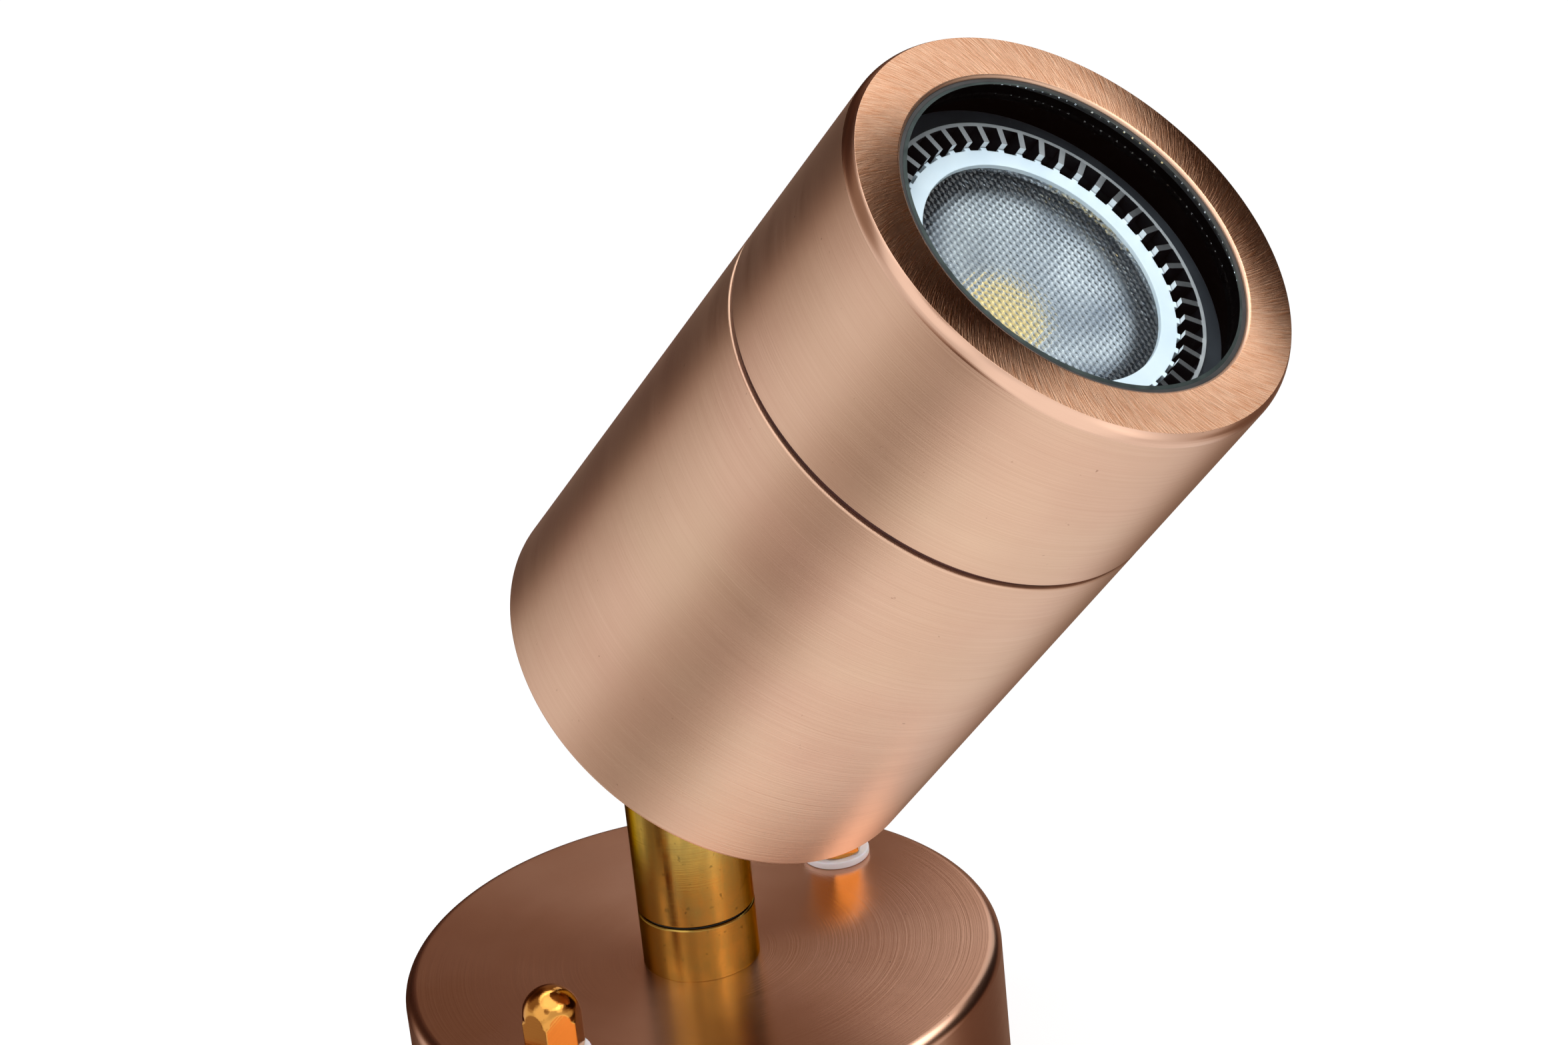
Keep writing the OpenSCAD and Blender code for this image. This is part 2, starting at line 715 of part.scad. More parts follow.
module post_leads() {
  foot = spigot_top - pivot_z + lead_gap;
  room_top = spigot_top - pivot_z + chamber_room;
  color([0.5, 0.3, 0.2]) translate([0, 0, pivot_z]) for (side = [-1, 1]) {
    reach = side < 0 ? inner_lap : outer_lap;
    tube(concat(
      bezier([side * lead_x, 0, foot], [side * lead_x, 0, foot + lead_d],
        [side * lead_x, -lead_bore_y, room_top - lead_d / 2], [side * lead_x, -lead_bore_y, room_top + lead_d], 6),
      [[side * lead_x, -lead_bore_y, -outer_lap - 2 * lead_d]],
      bezier([side * lead_x, -lead_bore_y, -outer_lap - lead_d], [side * lead_x, -lap_mid, -outer_lap],
        [side * lap_x, -lap_mid, -reach], [side * lap_x, -lap_end, -reach], 5)), lead_r, [1, 0, 0]);
  }
}

// Where the two leads lie in the wire chamber, at their two radii round the screw
inner_lap = chamber_in_r + fit + lead_r;
outer_lap = chamber_out_r - fit - lead_r;
lap_mid = lap_gap / 2 + chamber_depth / 2;
lap_end = lap_gap / 2 + lead_setback;
lap_x = lead_r;

// Arm, its seal and its lock nut, in the head's frame
module knuckle_arm() {
  gland_in = stem_gland_r - oring_d / 2 - gland_play;
  gland_out = stem_gland_r + oring_d / 2 + gland_play;
  color([0.78, 0.6, 0.3]) in_head() difference() {
    union() {
      rotate_extrude() polygon([
        [0, lap_shoulder], [post_r, lap_shoulder], [post_r, neck_len],
        [gland_out, neck_len], [gland_out, neck_len - gland_d], [gland_in, neck_len - gland_d],
        [gland_in, neck_len], [stem_r, neck_len], [stem_r, arm_stem_top], [0, arm_stem_top]]);
      mirror([0, 0, 1]) lap_half(1);
    }
    translate([0, 0, lap_shoulder + 0.2 * (neck_len - lap_shoulder)])
      cylinder(r = wire_bore_r, h = arm_stem_top);
    translate([0, lead_bore_y, chamber_in_r + lead_r])
      cylinder(r = lead_bore_r, h = neck_len - gland_d - chamber_in_r - lead_r);
    lap_chamber(1);
    rotate([-90, 0, 0]) translate([0, 0, -over]) cylinder(r = pivot_r, h = post_d);
    translate([0, lap_gap / 2 - over, 0]) rotate([-90, 0, 0])
      ring(lap_gland_r - oring_d / 2, lap_gland_r + oring_d / 2, gland_d - lap_gap + over);
  }
}

module arm_oring() {
  color([0.1, 0.1, 0.1]) in_head() translate([0, 0, neck_len - oring_d / 2]) oring(stem_gland_r, oring_d);
}

module arm_washer() {
  color([0.72, 0.72, 0.74]) in_head() translate([0, 0, back_inside + bracket_t])
    ring(stem_r, locknut_washer_d / 2, locknut_washer_t);
}

module arm_locknut() {
  color([0.78, 0.62, 0.33]) in_head()
    translate([0, 0, back_inside + bracket_t + locknut_washer_t]) locknut();
}

// Pivot screw: its head sits in the post's pocket and its thread in the arm
module pivot_screw() {
  seat = lap_gap / 2 + chamber_depth + pocket_web + spring_washer_t + fit;
  color([0.7, 0.7, 0.72]) in_head() rotate([90, 0, 0]) difference() {
    union() {
      translate([0, 0, -post_r + edge_chamfer]) cylinder(r = pivot_r, h = post_r - edge_chamfer + seat);
      translate([0, 0, seat]) cylinder(d = head_screw_d, h = head_screw_h);
    }
    translate([0, 0, seat + head_screw_h / 2]) hex_prism(socket_af, head_screw_h);
  }
}

module spring_washer() {
  seat = lap_gap / 2 + chamber_depth + pocket_web + fit;
  color([0.65, 0.65, 0.68]) in_head() rotate([90, 0, 0]) translate([0, 0, seat])
    ring(pivot_r, head_screw_d / 2, spring_washer_t);
}

module pivot_oring() {
  depth = gland_d - lap_gap;
  color([0.1, 0.1, 0.1]) in_head() translate([0, lap_gap / 2 + depth, 0]) rotate([90, 0, 0])
    ring(lap_gland_r - oring_d / 2, lap_gland_r + oring_d / 2, depth);
}

// One head lead: round the screw in the wire chamber, up the arm and out to the lampholder
// Turns, in degrees: between the first points of a lead, and where each lead leaves the chamber
end_turn = 3;
entry_turn = 10;
inner_exit_turn = 4;
outer_exit_turn = 12;
chamber_steps = 10;
function polar(r, turn, y) = [r * sin(turn), y, r * cos(turn)];
function chamber_route(r, from, to) = concat(
  [polar(r, from + end_turn, lap_end), polar(r, from, lap_end + lead_r)],
  [for (i = [0:chamber_steps])
    polar(r, from - entry_turn + (to - from + entry_turn) * i / chamber_steps, lap_mid)]);

module head_lead(r, from, to, x) {
  rise = chamber_out_r;
  end_z = holder_back + 1.5 * lead_d;
  tube(concat(
    chamber_route(r, from, to),
    [[(polar(r, to, 0)[0] + 3 * x) / 4, (lap_mid + lead_bore_y) / 2, (r + rise) / 2 + lead_r],
      [x, lead_bore_y, rise + lead_r], [x, lead_bore_y, lap_shoulder + lead_r]],
    bezier([x, lead_bore_y, lap_shoulder + lead_d], [x, lead_bore_y / 2, lap_shoulder + 2 * lead_d],
      [x, 0, neck_len - lead_d], [x, 0, neck_len + lead_d], 4),
    [[x, 0, arm_stem_top]],
    bezier([x, 0, arm_stem_top + lead_d], [x, 0, arm_stem_top + slack],
      [sign(x) * pin_pitch / 2, 0, end_z - slack], [sign(x) * pin_pitch / 2, 0, holder_back - lead_d], 8),
    [[sign(x) * pin_pitch / 2, 0, end_z]]), lead_r, [0, 1, 0]);
}

module head_leads() {
  inner_start = 180 - rest_tilt + atan(lap_x / inner_lap);
  outer_start = 180 - rest_tilt - atan(lap_x / outer_lap);
  color([0.85, 0.85, 0.82]) in_head() {
    head_lead(inner_lap, inner_start, inner_exit_turn, -lead_x);
    head_lead(outer_lap, outer_start, outer_exit_turn, lead_x);
  }
}

// Rear housing and front cap
module rear_housing() {
  color([0.74, 0.54, 0.43]) in_head() difference() {
    rotate_extrude() polygon(concat(
      [[stem_r, neck_len], [head_r - rear_edge_r, neck_len]],
      [for (i = [1:edge_steps]) let (a = 90 * i / edge_steps)
        [head_r - rear_edge_r + rear_edge_r * sin(a), neck_len + rear_edge_r - rear_edge_r * cos(a)]],
      [[head_r, housing_front], [thread_r, housing_front], [thread_r, housing_front + thread_len],
        [thread_in_r, housing_front + thread_len], [thread_in_r, housing_front - thread_root],
        [housing_in_r, housing_front - thread_root], [housing_in_r, back_inside],
        [stem_r, back_inside]]));
  }
}

module groove_seal() {
  color([0.09, 0.05, 0.05]) in_head() translate([0, 0, housing_front])
    ring(thread_r, head_r - seal_recess, groove_w);
}

module front_cap() {
  bore_end = housing_front + thread_len + thread_relief;
  color([0.76, 0.56, 0.44]) in_head() rotate_extrude() polygon(concat(
    [[thread_r + running, cap_back], [head_r, cap_back]],
    [for (i = [0:edge_steps]) let (a = bevel_angle * i / edge_steps)
      [head_r - bevel_r + bevel_r * cos(a), head_front - bevel_len + bevel_r * sin(a)]],
    [for (i = [0:edge_steps]) let (a = 90 * i / edge_steps)
      [aperture_r + lip_edge * (1 - sin(a)), head_front - lip_edge * (1 - cos(a))]],
    [[aperture_r, head_front - lip_t],
      [sleeve_r, head_front - lip_t], [sleeve_r, bore_end], [thread_r + running, bore_end]]));
}

// Glass between its two gaskets, and the black sleeve behind it
module front_gasket() {
  color([0.08, 0.08, 0.08]) in_head() rotate_extrude() polygon([
    [glass_step_r, flange_front], [glass_r, flange_front], [glass_r, head_front - lip_t],
    [aperture_r, head_front - lip_t], [aperture_r, bead_front], [glass_step_r, bead_front]]);
}

module front_glass() {
  color([0.8, 0.9, 0.88, 0.35]) in_head() rotate_extrude() polygon([
    [0, glass_back], [glass_r, glass_back], [glass_r, flange_front], [glass_step_r, flange_front],
    [glass_step_r, bead_front], [glass_step_r - ground_w, glass_front], [0, glass_front]]);
}

module rear_gasket() {
  color([0.08, 0.08, 0.08]) in_head() translate([0, 0, sleeve_front])
    ring(rear_gasket_in_r, glass_r, rear_gasket_t);
}

module black_sleeve() {
  color([0.06, 0.06, 0.07]) in_head() translate([0, 0, sleeve_front - sleeve_len])
    ring(sleeve_in_r, sleeve_r, sleeve_len);
}

module lamp_cushion() {
  color([0.2, 0.22, 0.25]) in_head() translate([0, 0, rim_z - cushion_drop - cushion_t])
    ring(lamp_r, sleeve_in_r, cushion_t);
}

// Lamp: finned heat sink, white ring, lens, reflector, LED, base and pins
module lamp_envelope() {
  rotate_extrude() polygon(concat(
    [[0, rim_z], [lamp_r, rim_z], [lamp_r, rim_z - rim_h]],
    [for (share = sink_shares) [lamp_r - rim_w - snug - (1 - share[0]) * lamp_r, rim_z - rim_h
      - share[1] * (sink_len - rim_h)]],
    [[0, rim_z - sink_len]]));
}

module lamp_heatsink() {
  color([0.66, 0.68, 0.7]) in_head() difference() {
    union() {
      translate([0, 0, rim_z - rim_h]) ring(lamp_r - rim_w, lamp_r, rim_h);
      rotate_extrude() polygon([
        [0, rim_z - sink_len], [core_back_d / 2, rim_z - sink_len],
        [core_r, rim_z - board_drop - board_t], [core_r, rim_z - ring_drop - ring_t],
        [0, rim_z - ring_drop - ring_t]]);
      intersection() {
        lamp_envelope();
        for (i = [0:fin_count - 1])
          rotate([0, 0, 360 * i / fin_count]) translate([core_back_d / 2 - over, -fin_t / 2, rim_z - sink_len])
            cube([lamp_r, fin_t, sink_len]);
        translate([0, 0, rim_z - sink_len]) difference() {
          cylinder(r = lamp_r + over, h = sink_len + over);
          translate([0, 0, sink_len - ring_drop - ring_t]) cylinder(r = ring_r + fit, h = sink_len);
        }
      }
    }
    translate([0, 0, rim_z - board_drop - board_t]) cylinder(r = ring_in_r, h = board_drop + board_t + over);
  }
}

module lamp_front_ring() {
  notch_w = 2 * PI * ring_r / fin_count - tooth_w;
  color([0.86, 0.92, 0.96]) in_head() translate([0, 0, rim_z - ring_drop - ring_t]) difference() {
    ring(ring_in_r, ring_r, ring_t);
    for (i = [0:fin_count - 1])
      rotate([0, 0, 360 * (i + 1 / 2) / fin_count]) translate([ring_r - tooth_len, -notch_w / 2, -over])
        cube([ring_r, notch_w, ring_t + 2 * over]);
  }
}

module lamp_lens() {
  color([0.75, 0.82, 0.88, 0.5]) in_head() translate([0, 0, rim_z - lens_drop - lens_t])
    cylinder(r = ring_in_r - lens_gap, h = lens_t);
}

module lamp_reflector() {
  top = rim_z - lens_drop - lens_t;
  low = rim_z - board_drop;
  wide = ring_in_r - lens_gap;
  narrow = chip_d / 2 + 2 * cone_t;
  color([0.85, 0.87, 0.9]) in_head() rotate_extrude() polygon([
    [narrow, low], [narrow + cone_t, low], [wide, top - flange_t], [wide, top], [wide - cone_t, top]]);
}

module led_board() {
  color([0.9, 0.9, 0.88]) in_head() translate([0, 0, rim_z - board_drop - board_t])
    cylinder(r = ring_in_r - lens_gap, h = board_t);
}

module led_chip() {
  color([0.95, 0.82, 0.3]) in_head() translate([0, 0, rim_z - board_drop]) cylinder(d = chip_d, h = chip_t);
}

module lamp_base() {
  shoulder_share = 0.35;
  color([0.92, 0.92, 0.9]) in_head() rotate_extrude() polygon([
    [0, base_z], [base_d / 2, base_z], [base_d / 2, base_z + (1 - shoulder_share) * base_len],
    [base_front_r, base_z + base_len], [0, base_z + base_len]]);
}

module lamp_pins() {
  head_len_share = 0.35;
  color([0.8, 0.8, 0.82]) in_head() for (side = [-1, 1])
    translate([side * pin_pitch / 2, 0, base_z - pin_len]) {
      cylinder(d = pin_d, h = pin_len);
      cylinder(d = pin_head_d, h = head_len_share * pin_len);
    }
}

// Lampholder on its bracket
module lampholder() {
  color([0.9, 0.87, 0.8]) in_head() translate([0, 0, holder_back]) difference() {
    union() {
      cylinder(d = holder_d, h = holder_h);
      translate([-ear_w / 2, -ear_end_y, 0]) cube([ear_w, 2 * ear_end_y, ear_t]);
    }
    for (side = [-1, 1]) {
      translate([side * pin_pitch / 2, 0, holder_h - pin_len - pocket_play])
        cylinder(d = pin_head_d + 2 * pocket_play, h = pin_len + pocket_play + over);
      translate([side * pin_pitch / 2, 0, -over]) cylinder(d = lead_d, h = over + 1.5 * lead_d);
      translate([0, side * ear_screw_y, -over]) cylinder(d = ear_screw_d, h = ear_t + 2 * over);
    }
  }
}

module holder_bracket() {
  inward = ear_screw_d * screw_head_share;
  color([0.68, 0.69, 0.71]) in_head() difference() {
    union() {
      translate([-ear_w / 2, -leg_y, back_inside]) cube([ear_w, 2 * leg_y, bracket_t]);
      for (side = [0, 180]) rotate([0, 0, side]) {
        translate([-ear_w / 2, leg_y - bracket_t, back_inside])
          cube([ear_w, bracket_t, holder_back - back_inside]);
        translate([-ear_w / 2, leg_y - bracket_t - inward, holder_back - bracket_t])
          cube([ear_w, inward + bracket_t, bracket_t]);
      }
    }
    translate([0, 0, back_inside - over]) cylinder(r = stem_r, h = bracket_t + 2 * over);
    for (side = [-1, 1])
      translate([0, side * ear_screw_y, holder_back - bracket_t - over])
        cylinder(d = ear_screw_d, h = bracket_t + 2 * over);
  }
}

module holder_screws() {
  color([0.7, 0.7, 0.72]) in_head() for (side = [-1, 1])
    translate([0, side * ear_screw_y, holder_back]) {
      translate([0, 0, -2 * bracket_t]) cylinder(d = ear_screw_d, h = ear_t + 2 * bracket_t);
      translate([0, 0, ear_t]) slotted_screw(screw_head_share * ear_screw_d, screw_head_h);
    }
}

canopy();
canopy_gasket();
mounting_plate();
mounting_studs();
nylon_washers();
dome_nuts();
terminal_block();
terminal_screws();
block_screws();
earth_lug();
earth_screw();
earth_lead();
base_leads();
knuckle_collar();
collar_oring();
collar_washer();
collar_locknut();
swivel_seal();
knuckle_post();
pan_grub_screw();
post_leads();
knuckle_arm();
arm_oring();
arm_washer();
arm_locknut();
pivot_screw();
spring_washer();
pivot_oring();
head_leads();
rear_housing();
groove_seal();
front_cap();
front_gasket();
front_glass();
rear_gasket();
black_sleeve();
lamp_cushion();
lamp_heatsink();
lamp_front_ring();
lamp_lens();
lamp_reflector();
led_board();
led_chip();
lamp_base();
lamp_pins();
lampholder();
holder_bracket();
holder_screws();
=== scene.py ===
import json
from math import atan2, cos, pi, radians, sin

import bpy
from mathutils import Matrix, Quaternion, Vector


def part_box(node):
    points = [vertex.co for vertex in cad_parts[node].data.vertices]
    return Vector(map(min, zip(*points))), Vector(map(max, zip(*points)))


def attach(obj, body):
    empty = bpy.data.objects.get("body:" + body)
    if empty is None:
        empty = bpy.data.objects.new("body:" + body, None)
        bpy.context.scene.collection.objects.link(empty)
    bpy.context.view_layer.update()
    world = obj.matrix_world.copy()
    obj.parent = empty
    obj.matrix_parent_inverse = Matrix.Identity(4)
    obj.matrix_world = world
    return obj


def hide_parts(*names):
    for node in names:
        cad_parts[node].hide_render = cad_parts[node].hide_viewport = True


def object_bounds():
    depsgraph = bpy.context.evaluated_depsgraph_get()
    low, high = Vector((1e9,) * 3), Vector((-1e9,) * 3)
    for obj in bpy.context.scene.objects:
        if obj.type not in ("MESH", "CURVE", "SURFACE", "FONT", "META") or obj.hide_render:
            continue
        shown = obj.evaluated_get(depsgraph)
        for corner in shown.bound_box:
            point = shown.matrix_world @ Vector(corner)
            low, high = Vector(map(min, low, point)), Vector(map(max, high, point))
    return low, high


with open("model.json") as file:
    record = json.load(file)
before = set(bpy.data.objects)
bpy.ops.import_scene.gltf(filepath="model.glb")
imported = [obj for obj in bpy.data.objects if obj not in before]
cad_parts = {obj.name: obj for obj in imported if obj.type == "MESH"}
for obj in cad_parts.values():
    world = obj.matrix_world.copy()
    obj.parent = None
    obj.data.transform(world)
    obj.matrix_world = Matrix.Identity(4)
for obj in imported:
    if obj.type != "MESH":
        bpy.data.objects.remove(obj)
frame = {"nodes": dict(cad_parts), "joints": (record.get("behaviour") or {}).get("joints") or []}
cad_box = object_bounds()
bpy.ops.object.select_all(action="DESELECT")
nodes = frame["nodes"]

# Camera: it looks down on the light from beside the wall, on the side away from the head's lean,
# through a long lens, and leans a few degrees to its left.
mm = 0.001
camera_place = Vector((337.2, -431.23, 345.47)) * mm
camera_target = Vector((42.6, -25.6, 119.2)) * mm
camera_roll = radians(-6.01)
bpy.ops.object.camera_add(location=camera_place)
camera = bpy.context.object
camera.rotation_mode = "QUATERNION"
camera.rotation_quaternion = (camera_target - camera_place).to_track_quat("-Z", "Y") @ Quaternion(
    (0, 0, 1), camera_roll)
camera.data.sensor_width = 36
camera.data.lens = 94.02
camera.data.clip_start = 0.01
bpy.context.scene.camera = camera
bpy.context.scene.view_settings.view_transform = "Standard"


# Studio: a white room for the camera. Metal and glass see a picture of it with soft lamps in front and
# above and a dark side behind, and a few large lamps give the plain surfaces their shape.
def feed(tree, sockets, values):
    """Gives each named socket its value, or a link from the socket that feeds it."""
    for name, value in values.items():
        if isinstance(value, bpy.types.NodeSocket):
            tree.links.new(value, sockets[name])
        else:
            sockets[name].default_value = value


def node(tree, kind, inputs=None, **settings):
    """A shader node with its settings and its inputs, each a value or the socket that feeds it."""
    made = tree.nodes.new(kind)
    for name, value in settings.items():
        setattr(made, name, value)
    feed(tree, made.inputs, inputs or {})
    return made


def maths(tree, operation, first, second=0.0):
    return node(tree, "ShaderNodeMath", {0: first, 1: second}, operation=operation).outputs[0]


def vectors(tree, operation, first, second=(0, 0, 0)):
    """A vector sum. Where its answer is a number, that is what it gives."""
    made = node(tree, "ShaderNodeVectorMath", {0: first, 1: second}, operation=operation)
    return made.outputs["Value" if operation in ("LENGTH", "DOT_PRODUCT") else "Vector"]


def step_between(tree, value, low, high, soft=False):
    """A mask that rises from 0 to 1 while a value goes from low to high."""
    return node(tree, "ShaderNodeMapRange", {"Value": value, "From Min": low, "From Max": high},
                interpolation_type="SMOOTHSTEP" if soft else "LINEAR").outputs["Result"]


def ramp(tree, mask, low, high):
    """A value that goes from low to high with a mask."""
    return node(tree, "ShaderNodeMapRange", {"Value": mask, "To Min": low, "To Max": high}).outputs["Result"]


def patch_of_light(tree, direction, centre, inner, outer):
    """A round soft-edged patch of the room, whole inside one angle in degrees and gone past the other."""
    facing = vectors(tree, "DOT_PRODUCT", direction, Vector(centre).normalized())
    return step_between(tree, facing, cos(radians(outer)), cos(radians(inner)), soft=True)


room = bpy.data.worlds.new("room")
room.use_nodes = True
bpy.context.scene.world = room
tree = room.node_tree
direction = node(tree, "ShaderNodeTexCoord").outputs["Generated"]
parts = node(tree, "ShaderNodeSeparateXYZ", {0: direction})
back_level, front_level, back_edge, front_edge = 0.22, 0.86, 0.34, -0.16
to_front = step_between(tree, parts.outputs[1], back_edge, front_edge, soft=True)
level = ramp(tree, to_front, back_level, front_level)
floor_patch, floor_level = patch_of_light(tree, direction, (0.03, 0.0, -1.0), 24, 56), 0.98
level = maths(tree, "MAXIMUM", level, maths(tree, "MULTIPLY", floor_patch, floor_level))

# Dark and bright patches: which way, the inner and outer angle in degrees, and the loss or gain of light
shade_patches = [
    ((0.33, 0.80, 0.50), 30, 46, 0.95),
    ((-0.40, -0.74, -0.54), 8, 30, 0.62),
    ((-0.28, -0.83, -0.49), 4, 11, 0.60),
    ((0.25, -0.74, 0.62), 8, 13, 0.96),
    ((-0.75, -0.22, 0.62), 20, 40, 0.65),
    ((0.22, 0.86, -0.46), 12, 24, 0.25),
    ((-0.86, 0.50, -0.15), 14, 32, 0.80),
    ((-0.85, 0.25, 0.45), 12, 30, 0.75),
]
for centre, inner, outer, loss in shade_patches:
    patch = patch_of_light(tree, direction, centre, inner, outer)
    kept = maths(tree, "SUBTRACT", 1.0, maths(tree, "MULTIPLY", patch, loss))
    level = maths(tree, "MULTIPLY", level, kept)
overhead = patch_of_light(tree, direction, (0.205, 0.045, 0.975), 28, 50)
middle = patch_of_light(tree, direction, (0.168, -0.126, 0.974), 30, 38)
overhead_gain, middle_loss = 4.1, 0.74
kept = maths(tree, "SUBTRACT", 1.0, maths(tree, "MULTIPLY", middle, middle_loss))
overhead = maths(tree, "MULTIPLY", maths(tree, "MULTIPLY", overhead, kept), overhead_gain)
level = maths(tree, "ADD", level, overhead)
lamp_patches = [
    ((-0.05, -0.86, 0.50), 22, 38, 0.36),
    ((0.81, -0.14, 0.56), 9, 13, 0.8),
    ((-0.92, -0.36, -0.10), 10, 30, 0.06),
    ((0.55, -0.67, -0.49), 26, 44, 0.36),
    ((0.88, 0.20, -0.30), 20, 38, 0.5),
]
for centre, inner, outer, gain in lamp_patches:
    patch = patch_of_light(tree, direction, centre, inner, outer)
    level = maths(tree, "ADD", level, maths(tree, "MULTIPLY", patch, gain))
warmth = node(tree, "ShaderNodeValToRGB", {"Fac": level})
warmth.color_ramp.elements[0].color = (1, 0.26, 0.09, 1)
warmth.color_ramp.elements[1].color = (1, 1, 1, 1)
warmth.color_ramp.elements.new(0.13).color = (1, 0.53, 0.34, 1)
warmth.color_ramp.elements.new(0.30).color = (1, 0.71, 0.54, 1)
warmth.color_ramp.elements.new(0.80).color = (1, 0.98, 0.96, 1)
rays = node(tree, "ShaderNodeLightPath")
seen = node(tree, "ShaderNodeBackground", {"Color": (1, 1, 1, 1), "Strength": 1.0})
mirrored = node(tree, "ShaderNodeBackground", {"Color": warmth.outputs[0], "Strength": level})
soft = node(tree, "ShaderNodeBackground", {"Color": (1, 1, 1, 1), "Strength": 0.55})
bent = maths(tree, "MAXIMUM", rays.outputs["Is Glossy Ray"], rays.outputs["Is Transmission Ray"])
bent_mix = node(tree, "ShaderNodeMixShader", {"Fac": bent, 1: soft.outputs[0], 2: mirrored.outputs[0]})
whole = node(tree, "ShaderNodeMixShader", {
    "Fac": rays.outputs["Is Camera Ray"], 1: bent_mix.outputs[0], 2: seen.outputs[0]})
tree.links.new(whole.outputs[0], tree.nodes["World Output"].inputs["Surface"])

floor_size, floor_gap = 6.0, 0.1 * mm
bpy.ops.mesh.primitive_plane_add(size=floor_size, location=(0, 0, cad_box[0].z - floor_gap))
floor = bpy.context.object
floor.name = "floor"
floor.visible_glossy = False
paper = bpy.data.materials.new("white_paper")
paper.use_nodes = True
tree = paper.node_tree
tree.nodes.remove(tree.nodes["Principled BSDF"])
rays = node(tree, "ShaderNodeLightPath")
matt = node(tree, "ShaderNodeBsdfDiffuse", {"Color": (0.9, 0.9, 0.9, 1)})
bright = node(tree, "ShaderNodeEmission", {"Color": (1, 1, 1, 1), "Strength": 1.04})
straight = maths(tree, "MAXIMUM", rays.outputs["Is Camera Ray"], maths(
    tree, "MAXIMUM", rays.outputs["Is Transmission Ray"], rays.outputs["Is Glossy Ray"]))

# The camera sees the paper as white, apart from a share of the shadow, which fades out round the light
shadow_kept, shadow_reach, shadow_gone = 0.22, 0.30, 0.55
far = vectors(tree, "LENGTH", node(tree, "ShaderNodeTexCoord").outputs["Object"])
plain = ramp(tree, step_between(tree, far, shadow_reach, shadow_gone, soft=True), 1 - shadow_kept, 1.0)
mix = node(tree, "ShaderNodeMixShader", {
    "Fac": maths(tree, "MULTIPLY", straight, plain), 1: matt.outputs[0], 2: bright.outputs[0]})
tree.links.new(mix.outputs[0], tree.nodes["Material Output"].inputs["Surface"])
floor.data.materials.append(paper)

lamps_aim = Vector((0.03, 0, 0.1))
for name, place, size, power, in_metal in (
        ("top_lamp", (0.25, -0.10, 0.75), 0.5, 6.0, False),
        ("left_lamp", (-0.70, -0.35, 0.35), 0.5, 2.4, False),
        ("front_lamp", (0.55, -0.60, 0.20), 0.4, 1.2, False),
        ("canopy_lamp", (-0.06, 0.34, 0.24), 0.20, 0.10, True)):
    bpy.ops.object.light_add(type="AREA", location=place)
    lamp = bpy.context.object
    lamp.name = name
    lamp.data.energy = power
    lamp.data.size = size
    lamp.rotation_euler = (lamps_aim - lamp.location).to_track_quat("-Z", "Y").to_euler()
    lamp.visible_glossy = lamp.visible_transmission = in_metal


# Wall plate: a round of zinc-plated steel against the wall, with two slots for the wall screws, the
# hole for the supply cable, and two welded studs that hold the canopy.
def new_finish(name):
    """A material with its node tree, its Principled shader and the coordinates of the piece."""
    material = bpy.data.materials.new(name)
    material.use_nodes = True
    tree = material.node_tree
    return material, tree, tree.nodes["Principled BSDF"], node(tree, "ShaderNodeTexCoord").outputs["Object"]


def blend_colours(tree, mask, first, second):
    return node(tree, "ShaderNodeMix", {"Factor": mask, 6: first, 7: second}, data_type="RGBA").outputs[2]


def new_group(name, inputs, outputs):
    """An empty shader group with named value and vector sockets."""
    group = bpy.data.node_groups.new(name, "ShaderNodeTree")
    for label, kind, value in inputs:
        made = group.interface.new_socket(label, in_out="INPUT", socket_type=kind)
        if value is not None:
            made.default_value = value
    for label, kind in outputs:
        group.interface.new_socket(label, in_out="OUTPUT", socket_type=kind)
    return group, group.nodes.new("NodeGroupInput"), group.nodes.new("NodeGroupOutput")


def use_group(tree, group, inputs):
    made = tree.nodes.new("ShaderNodeGroup")
    made.node_tree = group
    feed(tree, made.inputs, inputs)
    return made.outputs


# Rounded edges, and a mask of the edges that handling rubs bright
rounded_edges, given, out = new_group("rounded_edges", [
    ("Radius", "NodeSocketFloat", 0.0002)], [("Normal", "NodeSocketVector"), ("Edge", "NodeSocketFloat")])
tree = rounded_edges
soft_normal = node(tree, "ShaderNodeBevel", {"Radius": given.outputs["Radius"]}, samples=6)
true_normal = node(tree, "ShaderNodeNewGeometry").outputs["Normal"]
same = vectors(tree, "DOT_PRODUCT", soft_normal.outputs[0], true_normal)
feed(tree, out.inputs, {"Normal": soft_normal.outputs[0], "Edge": step_between(tree, same, 0.995, 0.85)})

# Uneven tone: a slow cloud, and fine specks
uneven, given, out = new_group("uneven_tone", [
    ("Vector", "NodeSocketVector", None), ("Cloud Size", "NodeSocketFloat", 0.01),
    ("Speck Size", "NodeSocketFloat", 0.001), ("Speck Share", "NodeSocketFloat", 0.1)],
    [("Cloud", "NodeSocketFloat"), ("Specks", "NodeSocketFloat")])
tree = uneven
cloud = node(tree, "ShaderNodeTexNoise", {
    "Vector": given.outputs["Vector"], "Scale": maths(tree, "DIVIDE", 1.0, given.outputs["Cloud Size"]),
    "Detail": 3.0, "Roughness": 0.55})
grains = node(tree, "ShaderNodeTexNoise", {
    "Vector": given.outputs["Vector"], "Scale": maths(tree, "DIVIDE", 1.0, given.outputs["Speck Size"]),
    "Detail": 2.0})
cut = maths(tree, "SUBTRACT", 0.75, maths(tree, "MULTIPLY", given.outputs["Speck Share"], 0.5))
feed(tree, out.inputs, {
    "Cloud": step_between(tree, cloud.outputs[0], 0.3, 0.7),
    "Specks": step_between(tree, grains.outputs[0], cut, maths(tree, "ADD", cut, 0.06))})


